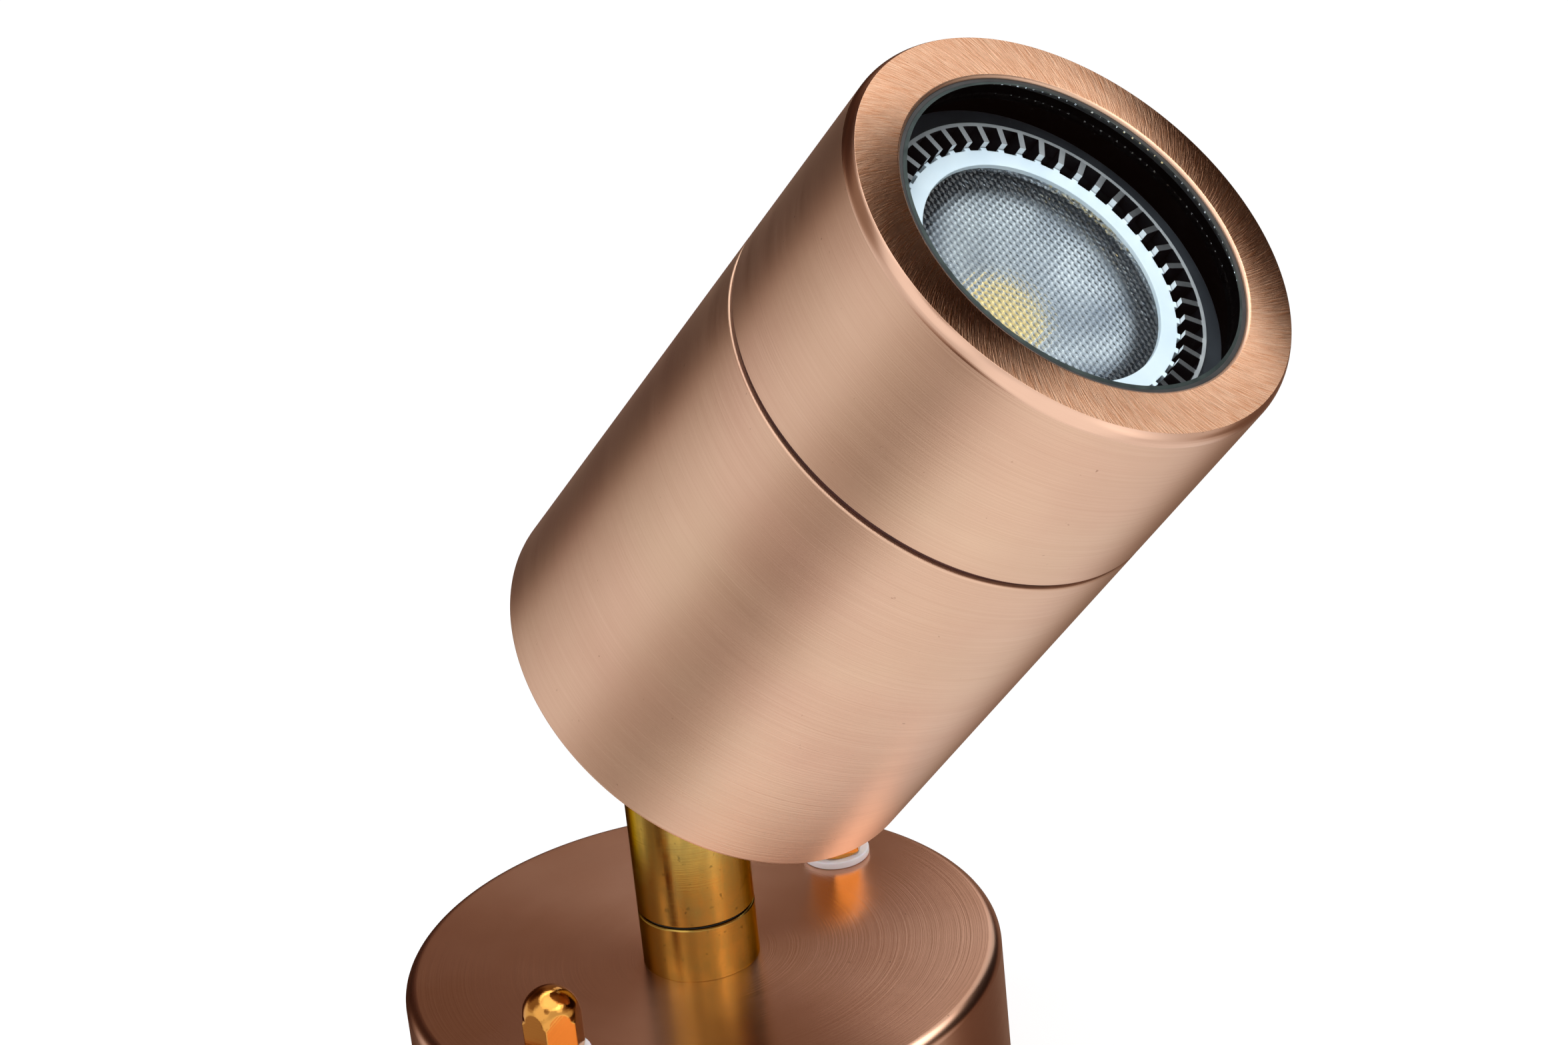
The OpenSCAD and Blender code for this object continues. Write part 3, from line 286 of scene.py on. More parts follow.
def plain_finish(name, colour, dark, roughness, metallic=0.0, cloud=0.006, speck=0.0006, bump=0.00002,
                 radius=0.0002, **extra):
    """A moulded, cast or plated surface: uneven tone, fine grain and rounded edges."""
    material, tree, shader, place = new_finish(name)
    tone = use_group(tree, uneven, {"Vector": place, "Cloud Size": cloud, "Speck Size": speck,
                                    "Speck Share": 0.25})
    edges = use_group(tree, rounded_edges, {"Radius": radius})
    base = blend_colours(tree, tone["Cloud"], (*dark, 1), (*colour, 1))
    base = blend_colours(tree, maths(tree, "MULTIPLY", tone["Specks"], 0.35), base, (*dark, 1))
    relief = node(tree, "ShaderNodeBump", {
        "Strength": 0.5, "Distance": bump, "Height": tone["Specks"], "Normal": edges["Normal"]})
    feed(tree, shader.inputs, {
        "Base Color": base, "Metallic": metallic, "Normal": relief.outputs[0],
        "Roughness": ramp(tree, tone["Cloud"], roughness + 0.05, roughness - 0.03), **extra})
    return material


def dress(material, *names):
    """Gives pieces that come finished from the frame their material."""
    for name in names:
        nodes[name].data.materials.clear()
        nodes[name].data.materials.append(material)


zinc = plain_finish("zinc_steel", (0.68, 0.69, 0.70), (0.52, 0.54, 0.57), 0.32, metallic=1.0, cloud=0.004)
dress(zinc, "mounting_plate", "mounting_studs", "collar_washer", "arm_washer", "block_screws",
      "terminal_screws", "earth_lug", "pivot_screw", "spring_washer", "lamp_pins", "holder_bracket",
      "holder_screws")


# Terminal block and leads: an off-white moulded block with brass inserts, screwed to the plate, and
# silicone leads that run from it through the collar.
dress(plain_finish("block_plastic", (0.80, 0.77, 0.68), (0.72, 0.68, 0.58), 0.42), "terminal_block")
dress(plain_finish("earth_sleeve", (0.35, 0.55, 0.12), (0.28, 0.45, 0.10), 0.55), "earth_lead")
dress(plain_finish("lead_sleeve", (0.62, 0.60, 0.56), (0.52, 0.50, 0.46), 0.55), "base_leads", "post_leads",
      "head_leads")


# Seals: black silicone rings in the joints, and a closed-cell foam ring that seals the canopy to the
# wall. All are moulded or cut to size and pushed into place.
dress(plain_finish("black_rubber", (0.025, 0.025, 0.026), (0.012, 0.012, 0.012), 0.55), "collar_oring",
      "swivel_seal", "arm_oring", "pivot_oring", "front_gasket", "rear_gasket")
dress(plain_finish("groove_rubber", (0.06, 0.012, 0.008), (0.03, 0.006, 0.005), 0.5), "groove_seal")
dress(plain_finish("foam", (0.10, 0.10, 0.10), (0.04, 0.04, 0.04), 0.85, cloud=0.002, speck=0.0004,
                   bump=0.0002), "canopy_gasket")


# Canopy: a cup of spun copper with a satin brushed finish under clear lacquer, turned on the lathe, so
# that its brush lines run round. Two holes take the studs and one the knuckle's stem.
def reach_along(name, start, axis):
    """The lowest and highest place of a node along an axis, and how far it reaches from that axis."""
    low, high, wide = 1e9, -1e9, 0.0
    for vertex in nodes[name].data.vertices:
        along = (vertex.co - start).dot(axis)
        low, high = min(low, along), max(high, along)
        wide = max(wide, (vertex.co - start - axis * along).length)
    return low, high, wide


def turned(name, outline, steps=192):
    """A piece turned on the lathe: a ring of each (radius, height) of its outline, joined in order."""
    bpy.ops.object.select_all(action="DESELECT")
    first_radius, first_height = outline[0]
    bpy.ops.mesh.primitive_circle_add(vertices=steps, radius=first_radius)
    piece = bpy.context.object
    piece.name = name
    bpy.ops.object.mode_set(mode="EDIT")
    bpy.ops.mesh.select_all(action="SELECT")
    bpy.ops.transform.translate(value=(0, 0, first_height))
    for (radius, height), (next_radius, next_height) in zip(outline, outline[1:] + outline[:1]):
        bpy.ops.mesh.extrude_region_move(TRANSFORM_OT_translate={"value": (0, 0, next_height - height)})
        scale = next_radius / radius
        bpy.ops.transform.resize(value=(scale, scale, 1), center_override=(0, 0, next_height))
    bpy.ops.mesh.select_all(action="SELECT")
    bpy.ops.mesh.remove_doubles(threshold=1e-6)
    bpy.ops.mesh.normals_make_consistent(inside=False)
    bpy.ops.object.mode_set(mode="OBJECT")
    return piece


def round_edges(piece, width, angle=28, segments=3):
    """Rounds the sharp edges and keeps flat faces flat to the light."""
    bevel = piece.modifiers.new("edges", "BEVEL")
    bevel.width, bevel.segments, bevel.limit_method = width, segments, "ANGLE"
    bevel.angle_limit = radians(angle)
    bpy.ops.object.select_all(action="DESELECT")
    piece.select_set(True)
    bpy.context.view_layer.objects.active = piece
    bpy.ops.object.modifier_apply(modifier=bevel.name)
    bpy.ops.object.shade_smooth_by_angle(angle=radians(angle))
    flatten = piece.modifiers.new("flats", "WEIGHTED_NORMAL")
    flatten.keep_sharp = True
    bpy.ops.object.modifier_apply(modifier=flatten.name)


def set_in(piece, place, turn=(0, 0, 0)):
    """Moves a finished mesh to its place and leaves its object at the origin."""
    piece.location, piece.rotation_euler = place, turn
    bpy.ops.object.select_all(action="DESELECT")
    piece.select_set(True)
    bpy.context.view_layer.objects.active = piece
    bpy.ops.object.transform_apply(location=True, rotation=True, scale=True)


def fit(piece, material, body, node_name):
    """Gives a finished piece its material and its body, and hides the node that it stands for."""
    piece.data.materials.clear()
    piece.data.materials.append(material)
    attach(piece, body)
    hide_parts(node_name)


def drill(piece, places, radius, depth):
    """Bores round holes along Z through a piece."""
    for place in places:
        bpy.ops.object.select_all(action="DESELECT")
        bpy.ops.mesh.primitive_cylinder_add(vertices=48, radius=radius, depth=depth, location=place)
        tool = bpy.context.object
        cut = piece.modifiers.new("bore", "BOOLEAN")
        cut.operation, cut.solver, cut.object = "DIFFERENCE", "EXACT", tool
        bpy.context.view_layer.objects.active = piece
        bpy.ops.object.modifier_apply(modifier=cut.name)
        bpy.data.objects.remove(tool)


def from_axis(tree, own):
    """How far a place in a piece's own coordinates is from the piece's axis."""
    return vectors(tree, "LENGTH", vectors(tree, "MULTIPLY", own, (1, 1, 0)))


# Fine lines of a brush or a lathe tool, round the axis on a side and round the centre on an end
lathe_lines, given, out = new_group("lathe_lines", [
    ("Vector", "NodeSocketVector", None), ("Spacing", "NodeSocketFloat", 0.0003),
    ("Length", "NodeSocketFloat", 0.03)], [("Lines", "NodeSocketFloat"), ("Bands", "NodeSocketFloat")])
tree = lathe_lines
parts = node(tree, "ShaderNodeSeparateXYZ", {0: given.outputs["Vector"]})
radius = from_axis(tree, given.outputs["Vector"])
step = maths(tree, "ADD", parts.outputs[2], radius)
round_way = [maths(tree, "DIVIDE", parts.outputs[k], given.outputs["Length"]) for k in (0, 1)]
fine = node(tree, "ShaderNodeCombineXYZ", {
    0: round_way[0], 1: round_way[1], 2: maths(tree, "DIVIDE", step, given.outputs["Spacing"])})
band_length_share, band_lines = 0.5, 12.0
wide = node(tree, "ShaderNodeCombineXYZ", {
    0: maths(tree, "MULTIPLY", round_way[0], band_length_share),
    1: maths(tree, "MULTIPLY", round_way[1], band_length_share),
    2: maths(tree, "DIVIDE", step, maths(tree, "MULTIPLY", given.outputs["Spacing"], band_lines))})
feed(tree, out.inputs, {
    "Lines": node(tree, "ShaderNodeTexNoise", {
        "Vector": fine.outputs[0], "Scale": 1.0, "Detail": 2.5, "Roughness": 0.6}).outputs[0],
    "Bands": node(tree, "ShaderNodeTexNoise", {
        "Vector": wide.outputs[0], "Scale": 1.0, "Detail": 1.0}).outputs[0]})


def lathe_axis_frame(tree, start, turn):
    """The piece's own coordinates, with its axis along Z."""
    place = node(tree, "ShaderNodeTexCoord").outputs["Object"]
    return node(tree, "ShaderNodeMapping", {"Vector": place, "Location": start, "Rotation": (0, turn, 0)},
                vector_type="TEXTURE").outputs[0]


def brush_tangent(tree, grain):
    """A direction on the piece, turned into the world's for the shader."""
    return node(tree, "ShaderNodeVectorTransform", {0: grain}, vector_type="VECTOR", convert_from="OBJECT",
                convert_to="WORLD").outputs[0]


def brushed_metal(name, colours, roughness, start, turn, way, anisotropic=0.7, spacing=0.0003, length=0.03,
                  contrast=1.0, specks=0.0, speck=0.0011, radius=0.0002, hue=None):
    """Metal brushed on the lathe. Colours are for the bright metal, its tarnish and its dark specks, and
    a hue is for slow changes of colour. The brush leaves a grain whose way is along the axis or round it
    on a side, or from the centre on an end."""
    bright_metal, tarnish, spot = [(*c, 1) for c in colours]
    material, tree, shader, place = new_finish(name)
    own = lathe_axis_frame(tree, start, turn)
    lines = use_group(tree, lathe_lines, {"Vector": own, "Spacing": spacing, "Length": length})
    tone = use_group(tree, uneven, {"Vector": own, "Cloud Size": 0.02, "Speck Size": speck,
                                    "Speck Share": specks})
    edges = use_group(tree, rounded_edges, {"Radius": radius})
    base = blend_colours(tree, maths(tree, "MULTIPLY", tone["Cloud"], 0.5), bright_metal, tarnish)
    base = blend_colours(tree, maths(tree, "MULTIPLY", lines["Lines"], 0.8 * contrast), base, tarnish)
    if hue:
        slow = use_group(tree, uneven, {"Vector": own, "Cloud Size": 0.028, "Speck Share": 0.0})
        base = blend_colours(tree, maths(tree, "MULTIPLY", slow["Cloud"], 0.45), base, (*hue, 1))
    base = blend_colours(tree, maths(tree, "MULTIPLY", tone["Specks"], 0.6), base, spot)
    base = blend_colours(tree, maths(tree, "MULTIPLY", edges["Edge"], 0.35), base, bright_metal)
    swing = 0.06 * contrast
    rough = maths(tree, "ADD", ramp(tree, lines["Lines"], roughness - swing, roughness + swing),
                  maths(tree, "MULTIPLY", lines["Bands"], 0.05 * contrast))
    relief = node(tree, "ShaderNodeBump", {
        "Strength": contrast, "Distance": 0.00004, "Height": lines["Lines"], "Normal": edges["Normal"]})
    if way == "axis":
        grain = node(tree, "ShaderNodeCombineXYZ", {0: sin(turn), 1: 0.0, 2: cos(turn)}).outputs[0]
    elif way == "radius":
        grain = vectors(tree, "MULTIPLY", place, (1, 1, 0))
    else:
        outward = vectors(tree, "SUBTRACT", place, start)
        grain = vectors(tree, "CROSS_PRODUCT", (sin(turn), 0.0, cos(turn)), outward)
    feed(tree, shader.inputs, {
        "Base Color": base, "Metallic": 1.0, "Roughness": rough, "Normal": relief.outputs[0],
        "Anisotropic": anisotropic, "Tangent": brush_tangent(tree, grain)})
    return material


wall_axis = Vector((0, 0, 1))
canopy_low, canopy_high, canopy_r = reach_along("canopy", Vector(), wall_axis)
canopy_wall, shoulder_r, shoulder_steps = 1.5 * mm, 2.0 * mm, 10
stem_hole_r, stud_hole_r = 5.1 * mm, 2.6 * mm
shoulder = [(canopy_r - shoulder_r + shoulder_r * cos(a), canopy_high - shoulder_r + shoulder_r * sin(a))
            for a in (pi / 2 * k / shoulder_steps for k in range(shoulder_steps + 1))]
canopy = turned("canopy_shell", [
    (canopy_r, canopy_low), *shoulder, (stem_hole_r, canopy_high), (stem_hole_r, canopy_high - canopy_wall),
    (canopy_r - shoulder_r, canopy_high - canopy_wall), (canopy_r - canopy_wall, canopy_high - shoulder_r),
    (canopy_r - canopy_wall, canopy_low)], steps=256)
nut_centres = []
for side in (-1, 1):
    corners = [v.co for v in nodes["nylon_washers"].data.vertices if v.co.y * side > 0]
    nut_centres.append(sum(corners, Vector()) / len(corners))
drill(canopy, nut_centres, stud_hole_r, 4 * canopy_wall)
round_edges(canopy, 0.15 * mm)
canopy_tones = ((0.80, 0.50, 0.36), (0.60, 0.34, 0.23), (0.28, 0.13, 0.08))
canopy_copper = brushed_metal("copper_canopy", canopy_tones, 0.23, Vector(), 0.0, "radius", anisotropic=0.7,
                              spacing=0.00028, length=0.05, contrast=0.5, hue=(0.55, 0.26, 0.14))
fit(canopy, canopy_copper, "base", "canopy")


# Canopy nuts: a white nylon washer and a polished brass dome nut on each stud hold the canopy to the
# wall plate.
washer_low, washer_high, _ = reach_along("nylon_washers", Vector(), wall_axis)
washer_r, washer_hole_r = 5.3 * mm, 2.55 * mm
nylon = plain_finish("nylon", (0.86, 0.86, 0.90), (0.78, 0.78, 0.84), 0.38, **{
    "Subsurface Weight": 0.15, "Subsurface Scale": 0.001})
washers = []
for centre in nut_centres:
    washer = turned("washer", [
        (washer_r, washer_low), (washer_r, washer_high), (washer_hole_r, washer_high),
        (washer_hole_r, washer_low)], steps=96)
    round_edges(washer, 0.25 * mm)
    set_in(washer, (centre.x, centre.y, 0))
    washers.append(washer)
bpy.ops.object.select_all(action="DESELECT")
for washer in washers:
    washer.select_set(True)
bpy.context.view_layer.objects.active = washers[0]
bpy.ops.object.join()
washers[0].name = "canopy_washers"
fit(washers[0], nylon, "base", "nylon_washers")
polished_tones = ((0.72, 0.34, 0.075), (0.58, 0.25, 0.05), (0.30, 0.12, 0.02))
dress(brushed_metal("polished_brass", polished_tones, 0.09, Vector(), 0.0, "radius", anisotropic=0.0,
                    contrast=0.25, radius=0.00035), "dome_nuts")


# Knuckle: collar, post and arm are turned from brass bar and left to dull. The post turns on the collar
# and the arm tilts on the pivot screw of the half-lap.
brass_tones = ((0.56, 0.34, 0.075), (0.29, 0.19, 0.045), (0.07, 0.035, 0.01))
joints = {joint["name"]: joint for joint in frame["joints"]}
pivot = Vector(joints["head_tilt"]["pos_m"])
glass_low, glass_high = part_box("front_glass")
head_axis = ((glass_low + glass_high) / 2 - pivot).normalized()
tilt = atan2(head_axis.x, head_axis.z)


def dulled_brass(name, start, turn):
    """Turned brass that has dulled: faint lathe lines, cloudy stains and smears along the bar."""
    material = brushed_metal(name, brass_tones, 0.19, start, turn, "axis", anisotropic=0.35, spacing=0.00022,
                             specks=0.16, speck=0.0012, contrast=0.3)
    tree = material.node_tree
    shader = tree.nodes["Principled BSDF"]
    own = lathe_axis_frame(tree, start, turn)
    drawn_out = node(tree, "ShaderNodeMapping", {"Vector": own, "Scale": (1.0, 1.0, 0.16)}).outputs[0]
    smears = use_group(tree, uneven, {"Vector": drawn_out, "Cloud Size": 0.0011, "Speck Size": 0.0004,
                                      "Speck Share": 0.3})
    stains = use_group(tree, uneven, {"Vector": own, "Cloud Size": 0.0028, "Speck Size": 0.0009,
                                      "Speck Share": 0.2})
    dull = maths(tree, "MULTIPLY", maths(tree, "ADD", smears["Cloud"], stains["Cloud"]), 0.42)
    base = blend_colours(tree, dull, shader.inputs["Base Color"].links[0].from_socket, (0.30, 0.22, 0.06, 1))
    rough = maths(tree, "ADD", shader.inputs["Roughness"].links[0].from_socket, ramp(tree, dull, -0.04, 0.10))
    feed(tree, shader.inputs, {"Base Color": base, "Roughness": rough, "Specular Tint": (0.50, 0.32, 0.14, 1)})
    return material


dress(dulled_brass("turned_brass", Vector(), 0.0), "knuckle_collar", "knuckle_post", "collar_locknut",
      "earth_screw")
dress(dulled_brass("arm_brass", pivot, tilt), "knuckle_arm", "arm_locknut")
dress(plain_finish("black_steel", (0.06, 0.06, 0.065), (0.03, 0.03, 0.03), 0.35, metallic=0.8),
      "pan_grub_screw")


# Rear housing: a tube of copper with a closed back, turned and brushed round, with a fine thread at its
# mouth. It holds the lampholder on a steel bracket.
rear_low, rear_high, head_r = reach_along("rear_housing", pivot, head_axis)
cap_low, cap_high, _ = reach_along("front_cap", pivot, head_axis)
groove_w = 1.1 * mm
housing_front = cap_low - groove_w
head_wall, back_t, thread_wall = 2.0 * mm, 3.0 * mm, 2.0 * mm
thread_depth, arm_hole_r = 1.8 * mm, 5.0 * mm
mouth_wall_len, rear_edge_r, mouth_edge_r, edge_steps = 4.0 * mm, 0.8 * mm, 0.35 * mm, 6
quarter = [pi / 2 * k / edge_steps for k in range(edge_steps + 1)]
rear_edge = [(head_r - rear_edge_r + rear_edge_r * sin(a), rear_low + rear_edge_r - rear_edge_r * cos(a))
             for a in quarter]
mouth_edge = [(head_r - mouth_edge_r + mouth_edge_r * cos(a),
               housing_front - mouth_edge_r + mouth_edge_r * sin(a)) for a in quarter]
thread_r = head_r - thread_depth
housing = turned("rear_housing_shell", [
    (arm_hole_r, rear_low), *rear_edge, *mouth_edge, (thread_r, housing_front),
    (thread_r, rear_high), (thread_r - thread_wall, rear_high),
    (thread_r - thread_wall, housing_front - mouth_wall_len),
    (head_r - head_wall, housing_front - mouth_wall_len), (head_r - head_wall, rear_low + back_t),
    (arm_hole_r, rear_low + back_t)], steps=256)
round_edges(housing, 0.12 * mm)
set_in(housing, pivot, (0, tilt, 0))
copper_tones = ((0.82, 0.54, 0.40), (0.64, 0.38, 0.27), (0.28, 0.13, 0.08))
satin_copper = brushed_metal("copper_side", copper_tones, 0.37, pivot, tilt, "axis", anisotropic=0.6,
                             spacing=0.00025, length=0.03, hue=(0.74, 0.54, 0.37))
fit(housing, satin_copper, "head", "rear_housing")


# Front cap: a second copper tube that screws on to the housing and clamps the glass behind its lip. Its
# side is brushed round and its flat front ring is brushed outwards from the centre.
bevel_w, bevel_len, bevel_steps = 0.75 * mm, 2.1 * mm, 8
lip_t, thread_len, thread_play = 1.2 * mm, 8.5 * mm, 0.05 * mm
lip_edge = 0.5 * mm
aperture_r, sleeve_r = 26.45 * mm, 29.8 * mm
bevel_r = (bevel_w ** 2 + bevel_len ** 2) / (2 * bevel_w)
bevel_angle = atan2(bevel_len, bevel_r - bevel_w)
bevel_line = [(head_r - bevel_r + bevel_r * cos(a), cap_high - bevel_len + bevel_r * sin(a))
              for a in (bevel_angle * k / bevel_steps for k in range(bevel_steps + 1))]
lip_line = [(aperture_r + lip_edge * (1 - sin(a)), cap_high - lip_edge * (1 - cos(a))) for a in quarter]
cap = turned("front_cap_shell", [
    (thread_r + thread_play, cap_low), (head_r, cap_low), *bevel_line, *lip_line,
    (aperture_r, cap_high - lip_t), (sleeve_r, cap_high - lip_t), (sleeve_r, housing_front + thread_len),
    (thread_r + thread_play, housing_front + thread_len)], steps=256)
bpy.ops.object.shade_smooth_by_angle(angle=radians(20))
face_start, face_slope, edge_slope = cap_high - 0.02 * mm, 0.99, 0.66
face_faces = [f.index for f in cap.data.polygons if f.center.z > face_start and f.normal.z > face_slope]
edge_faces = [f.index for f in cap.data.polygons if f.normal.z < edge_slope
              and cap_high - bevel_len < f.center.z and f.center.xy.length > sleeve_r]
set_in(cap, pivot, (0, tilt, 0))
fit(cap, satin_copper, "head", "front_cap")

# Fine brush lines that run outwards from the centre with a slight swirl
radial_lines, given, out = new_group("radial_lines", [
    ("Vector", "NodeSocketVector", None), ("Lines Round", "NodeSocketFloat", 860.0),
    ("Swirl", "NodeSocketFloat", -18.6)], [("Lines", "NodeSocketFloat"), ("Bands", "NodeSocketFloat")])
tree = radial_lines
radius = from_axis(tree, given.outputs["Vector"])
twisted = node(tree, "ShaderNodeVectorRotate", {
    "Vector": vectors(tree, "MULTIPLY", given.outputs["Vector"], (1, 1, 0)),
    "Angle": maths(tree, "MULTIPLY", radius, given.outputs["Swirl"])}, rotation_type="Z_AXIS")
outward = vectors(tree, "NORMALIZE", twisted.outputs[0])
changes_along = 420.0
along = node(tree, "ShaderNodeCombineXYZ", {2: maths(tree, "MULTIPLY", radius, changes_along)}).outputs[0]
for label, divisor in (("Lines", 6.283), ("Bands", 60.0)):
    stretched = node(tree, "ShaderNodeVectorMath", {
        0: outward, "Scale": maths(tree, "DIVIDE", given.outputs["Lines Round"], divisor)}, operation="SCALE")
    feed(tree, out.inputs, {label: node(tree, "ShaderNodeTexNoise", {
        "Vector": vectors(tree, "ADD", stretched.outputs[0], along), "Scale": 1.0, "Detail": 2.5}).outputs[0]})

material, tree, shader, place = new_finish("copper_face")
own = lathe_axis_frame(tree, pivot, tilt)
lines = use_group(tree, radial_lines, {"Vector": own})
tone = use_group(tree, uneven, {"Vector": own, "Cloud Size": 0.012, "Speck Size": 0.0009, "Speck Share": 0.0})
edges = use_group(tree, rounded_edges, {"Radius": 0.00005})
streaks = ramp(tree, lines["Lines"], -0.4, 1.4)
base = blend_colours(tree, streaks, (0.98, 0.64, 0.44, 1), (0.54, 0.23, 0.11, 1))
base = blend_colours(tree, maths(tree, "MULTIPLY", tone["Specks"], 0.5), base, (0.25, 0.11, 0.07, 1))
relief = node(tree, "ShaderNodeBump", {
    "Strength": 0.6, "Distance": 0.00004, "Height": lines["Lines"], "Normal": edges["Normal"]})
round_way = vectors(tree, "CROSS_PRODUCT", tuple(head_axis), vectors(tree, "SUBTRACT", place, pivot))
rough = maths(tree, "ADD", ramp(tree, lines["Lines"], 0.19, 0.29),
              maths(tree, "MULTIPLY", lines["Bands"], 0.05))
feed(tree, shader.inputs, {
    "Base Color": base, "Metallic": 1.0, "Roughness": rough, "Normal": relief.outputs[0],
    "Specular Tint": (0.62, 0.30, 0.16, 1), "Anisotropic": 0.96, "Tangent": brush_tangent(tree, round_way)})
cap.data.materials.append(material)
cap.data.materials.append(brushed_metal("copper_edge", copper_tones, 0.20, pivot, tilt, "round",
                                        anisotropic=0.3, contrast=0.4, radius=0.00004))
for index in face_faces:
    cap.data.polygons[index].material_index = 1
for index in edge_faces:
    cap.data.polygons[index].material_index = 2


# Glass: a stepped disc of toughened glass with a ground front edge. Its flange is pressed against the
# lip between two gaskets, and its front comes almost level with the face, inside the front gasket's bead.
def let_light_through(tree, shader, colour):
    """Lets light that isn't seen straight on pass a clear piece, so that what is behind it is lit."""
    clear = node(tree, "ShaderNodeBsdfTransparent", {"Color": colour})
    rays = node(tree, "ShaderNodeLightPath")
    lamp_rays = maths(tree, "MAXIMUM", rays.outputs["Is Shadow Ray"], rays.outputs["Is Diffuse Ray"])
    mix = node(tree, "ShaderNodeMixShader", {"Fac": lamp_rays, 1: shader.outputs[0], 2: clear.outputs[0]})
    tree.links.new(mix.outputs[0], tree.nodes["Material Output"].inputs["Surface"])


glass_back, glass_front, glass_r = reach_along("front_glass", pivot, head_axis)
flange_depth, edge_play, step_play = 1.7 * mm, 0.01 * mm, 0.1 * mm
flange_front, bead_front = cap_high - flange_depth, cap_high - lip_edge
step_r, ground_w, centre_r = 25.85 * mm, 0.50 * mm, 0.01 * mm
glass = turned("glass_disc", [
    (centre_r, glass_back), (glass_r, glass_back), (glass_r, flange_front), (step_r, flange_front),
    (step_r, bead_front), (step_r - ground_w, glass_front), (centre_r, glass_front)], steps=192)
ground_faces = [f.index for f in glass.data.polygons
                if step_r - ground_w < f.center.xy.length < step_r - edge_play
                and f.center.z > flange_front + step_play]
bpy.ops.object.shade_smooth_by_angle(angle=radians(5))
set_in(glass, pivot, (0, tilt, 0))
material, tree, shader, place = new_finish("toughened_glass")
tone = use_group(tree, uneven, {"Vector": place, "Cloud Size": 0.02, "Speck Size": 0.002, "Speck Share": 0.0})
feed(tree, shader.inputs, {
    "Base Color": (0.96, 0.98, 0.98, 1), "Roughness": ramp(tree, tone["Cloud"], 0.0, 0.015), "IOR": 1.5,
    "Specular IOR Level": 0.25, "Transmission Weight": 1.0})
let_light_through(tree, shader, (0.95, 0.97, 0.97, 1))
fit(glass, material, "head", "front_glass")
ground, tree, shader, place = new_finish("ground_glass")
tone = use_group(tree, uneven, {"Vector": place, "Cloud Size": 0.004, "Speck Size": 0.0004, "Speck Share": 0.3})
grain = node(tree, "ShaderNodeBump", {"Strength": 0.4, "Distance": 0.00003, "Height": tone["Specks"]})
feed(tree, shader.inputs, {
    "Base Color": blend_colours(tree, tone["Cloud"], (0.018, 0.024, 0.024, 1), (0.04, 0.052, 0.05, 1)),
    "Roughness": ramp(tree, tone["Specks"], 0.45, 0.6), "Normal": grain.outputs[0], "IOR": 1.5,
    "Specular IOR Level": 0.05})
glass.data.materials.append(ground)
for index in ground_faces:
    glass.data.polygons[index].material_index = 1


# Sleeve and cushion: a black anodised tube keeps the glass forward and hides the housing's inside, and
# a dark grey silicone ring holds the lamp's rim in it.
dress(plain_finish("black_anodised", (0.0014, 0.0012, 0.0015), (0.0008, 0.0007, 0.0008), 0.6,
                   **{"Specular IOR Level": 0.03}), "black_sleeve")
dress(plain_finish("grey_rubber", (0.036, 0.041, 0.049), (0.022, 0.025, 0.031), 0.5, speck=0.0004),
      "lamp_cushion")


# Lamp: a cast aluminium heat sink with thin fins, a bluish white plastic ring, and a moulded lens over a
# pale bowl and the LED board. Its two pins plug into the lampholder.
_, rim_high, rim_r = reach_along("lamp_heatsink", pivot, head_axis)
cast = plain_finish("cast_aluminium", (0.74, 0.77, 0.80), (0.60, 0.63, 0.67), 0.42, metallic=0.6, cloud=0.003,
                    speck=0.0003, bump=0.00004, radius=0.00015)
tree = cast.node_tree
shader = tree.nodes["Principled BSDF"]

# The fins are painted black behind their front edges and on their sides, as shade between them. Their fronts are
# painted lighter on one side of the lamp, as if lit from there, and lighter at the rim, and their tips beside the
# white ring carry a painted highlight.
facing, place = (node(tree, "ShaderNodeTexCoord").outputs[name] for name in ("Normal", "Object"))
own = lathe_axis_frame(tree, pivot, tilt)
fin_back, fin_front = rim_high - 1.6 * mm, rim_high - 0.9 * mm
clear_of_painted_shade = step_between(tree, node(tree, "ShaderNodeSeparateXYZ", {0: own}).outputs[2], fin_back, fin_front)
beside_axis = vectors(tree, "CROSS_PRODUCT", tuple(head_axis), vectors(
    tree, "CROSS_PRODUCT", vectors(tree, "SUBTRACT", place, pivot), tuple(head_axis)))
outward = vectors(tree, "NORMALIZE", beside_axis)
masks = []
for way, sign in ((tuple(head_axis), 1.0), (outward, -1.0)):
    looks = maths(tree, "MULTIPLY", vectors(tree, "DOT_PRODUCT", facing, way), sign)
    masks.append(step_between(tree, looks, 0.6, 0.9, soft=True))
forward, inward = masks
# Painted shade: all but the fins' front faces near the front go black
painted_lit_fronts = maths(tree, "MULTIPLY", clear_of_painted_shade, forward)
beside = vectors(tree, "LENGTH", beside_axis)
ring_r = reach_along("lamp_front_ring", pivot, head_axis)[2]
tip_out, tip_in, rim_in, rim_edge = 1.0 * mm, 0.7 * mm, 0.8 * mm, 0.6 * mm
near_ring = step_between(tree, beside, ring_r + tip_out, ring_r + tip_in)
# Painted highlight on the fins' inner tips beside the white ring
painted_tip_highlight = maths(tree, "MULTIPLY", maths(tree, "MULTIPLY", clear_of_painted_shade, inward), near_ring)
bare = shader.inputs["Base Color"].links[0].from_socket
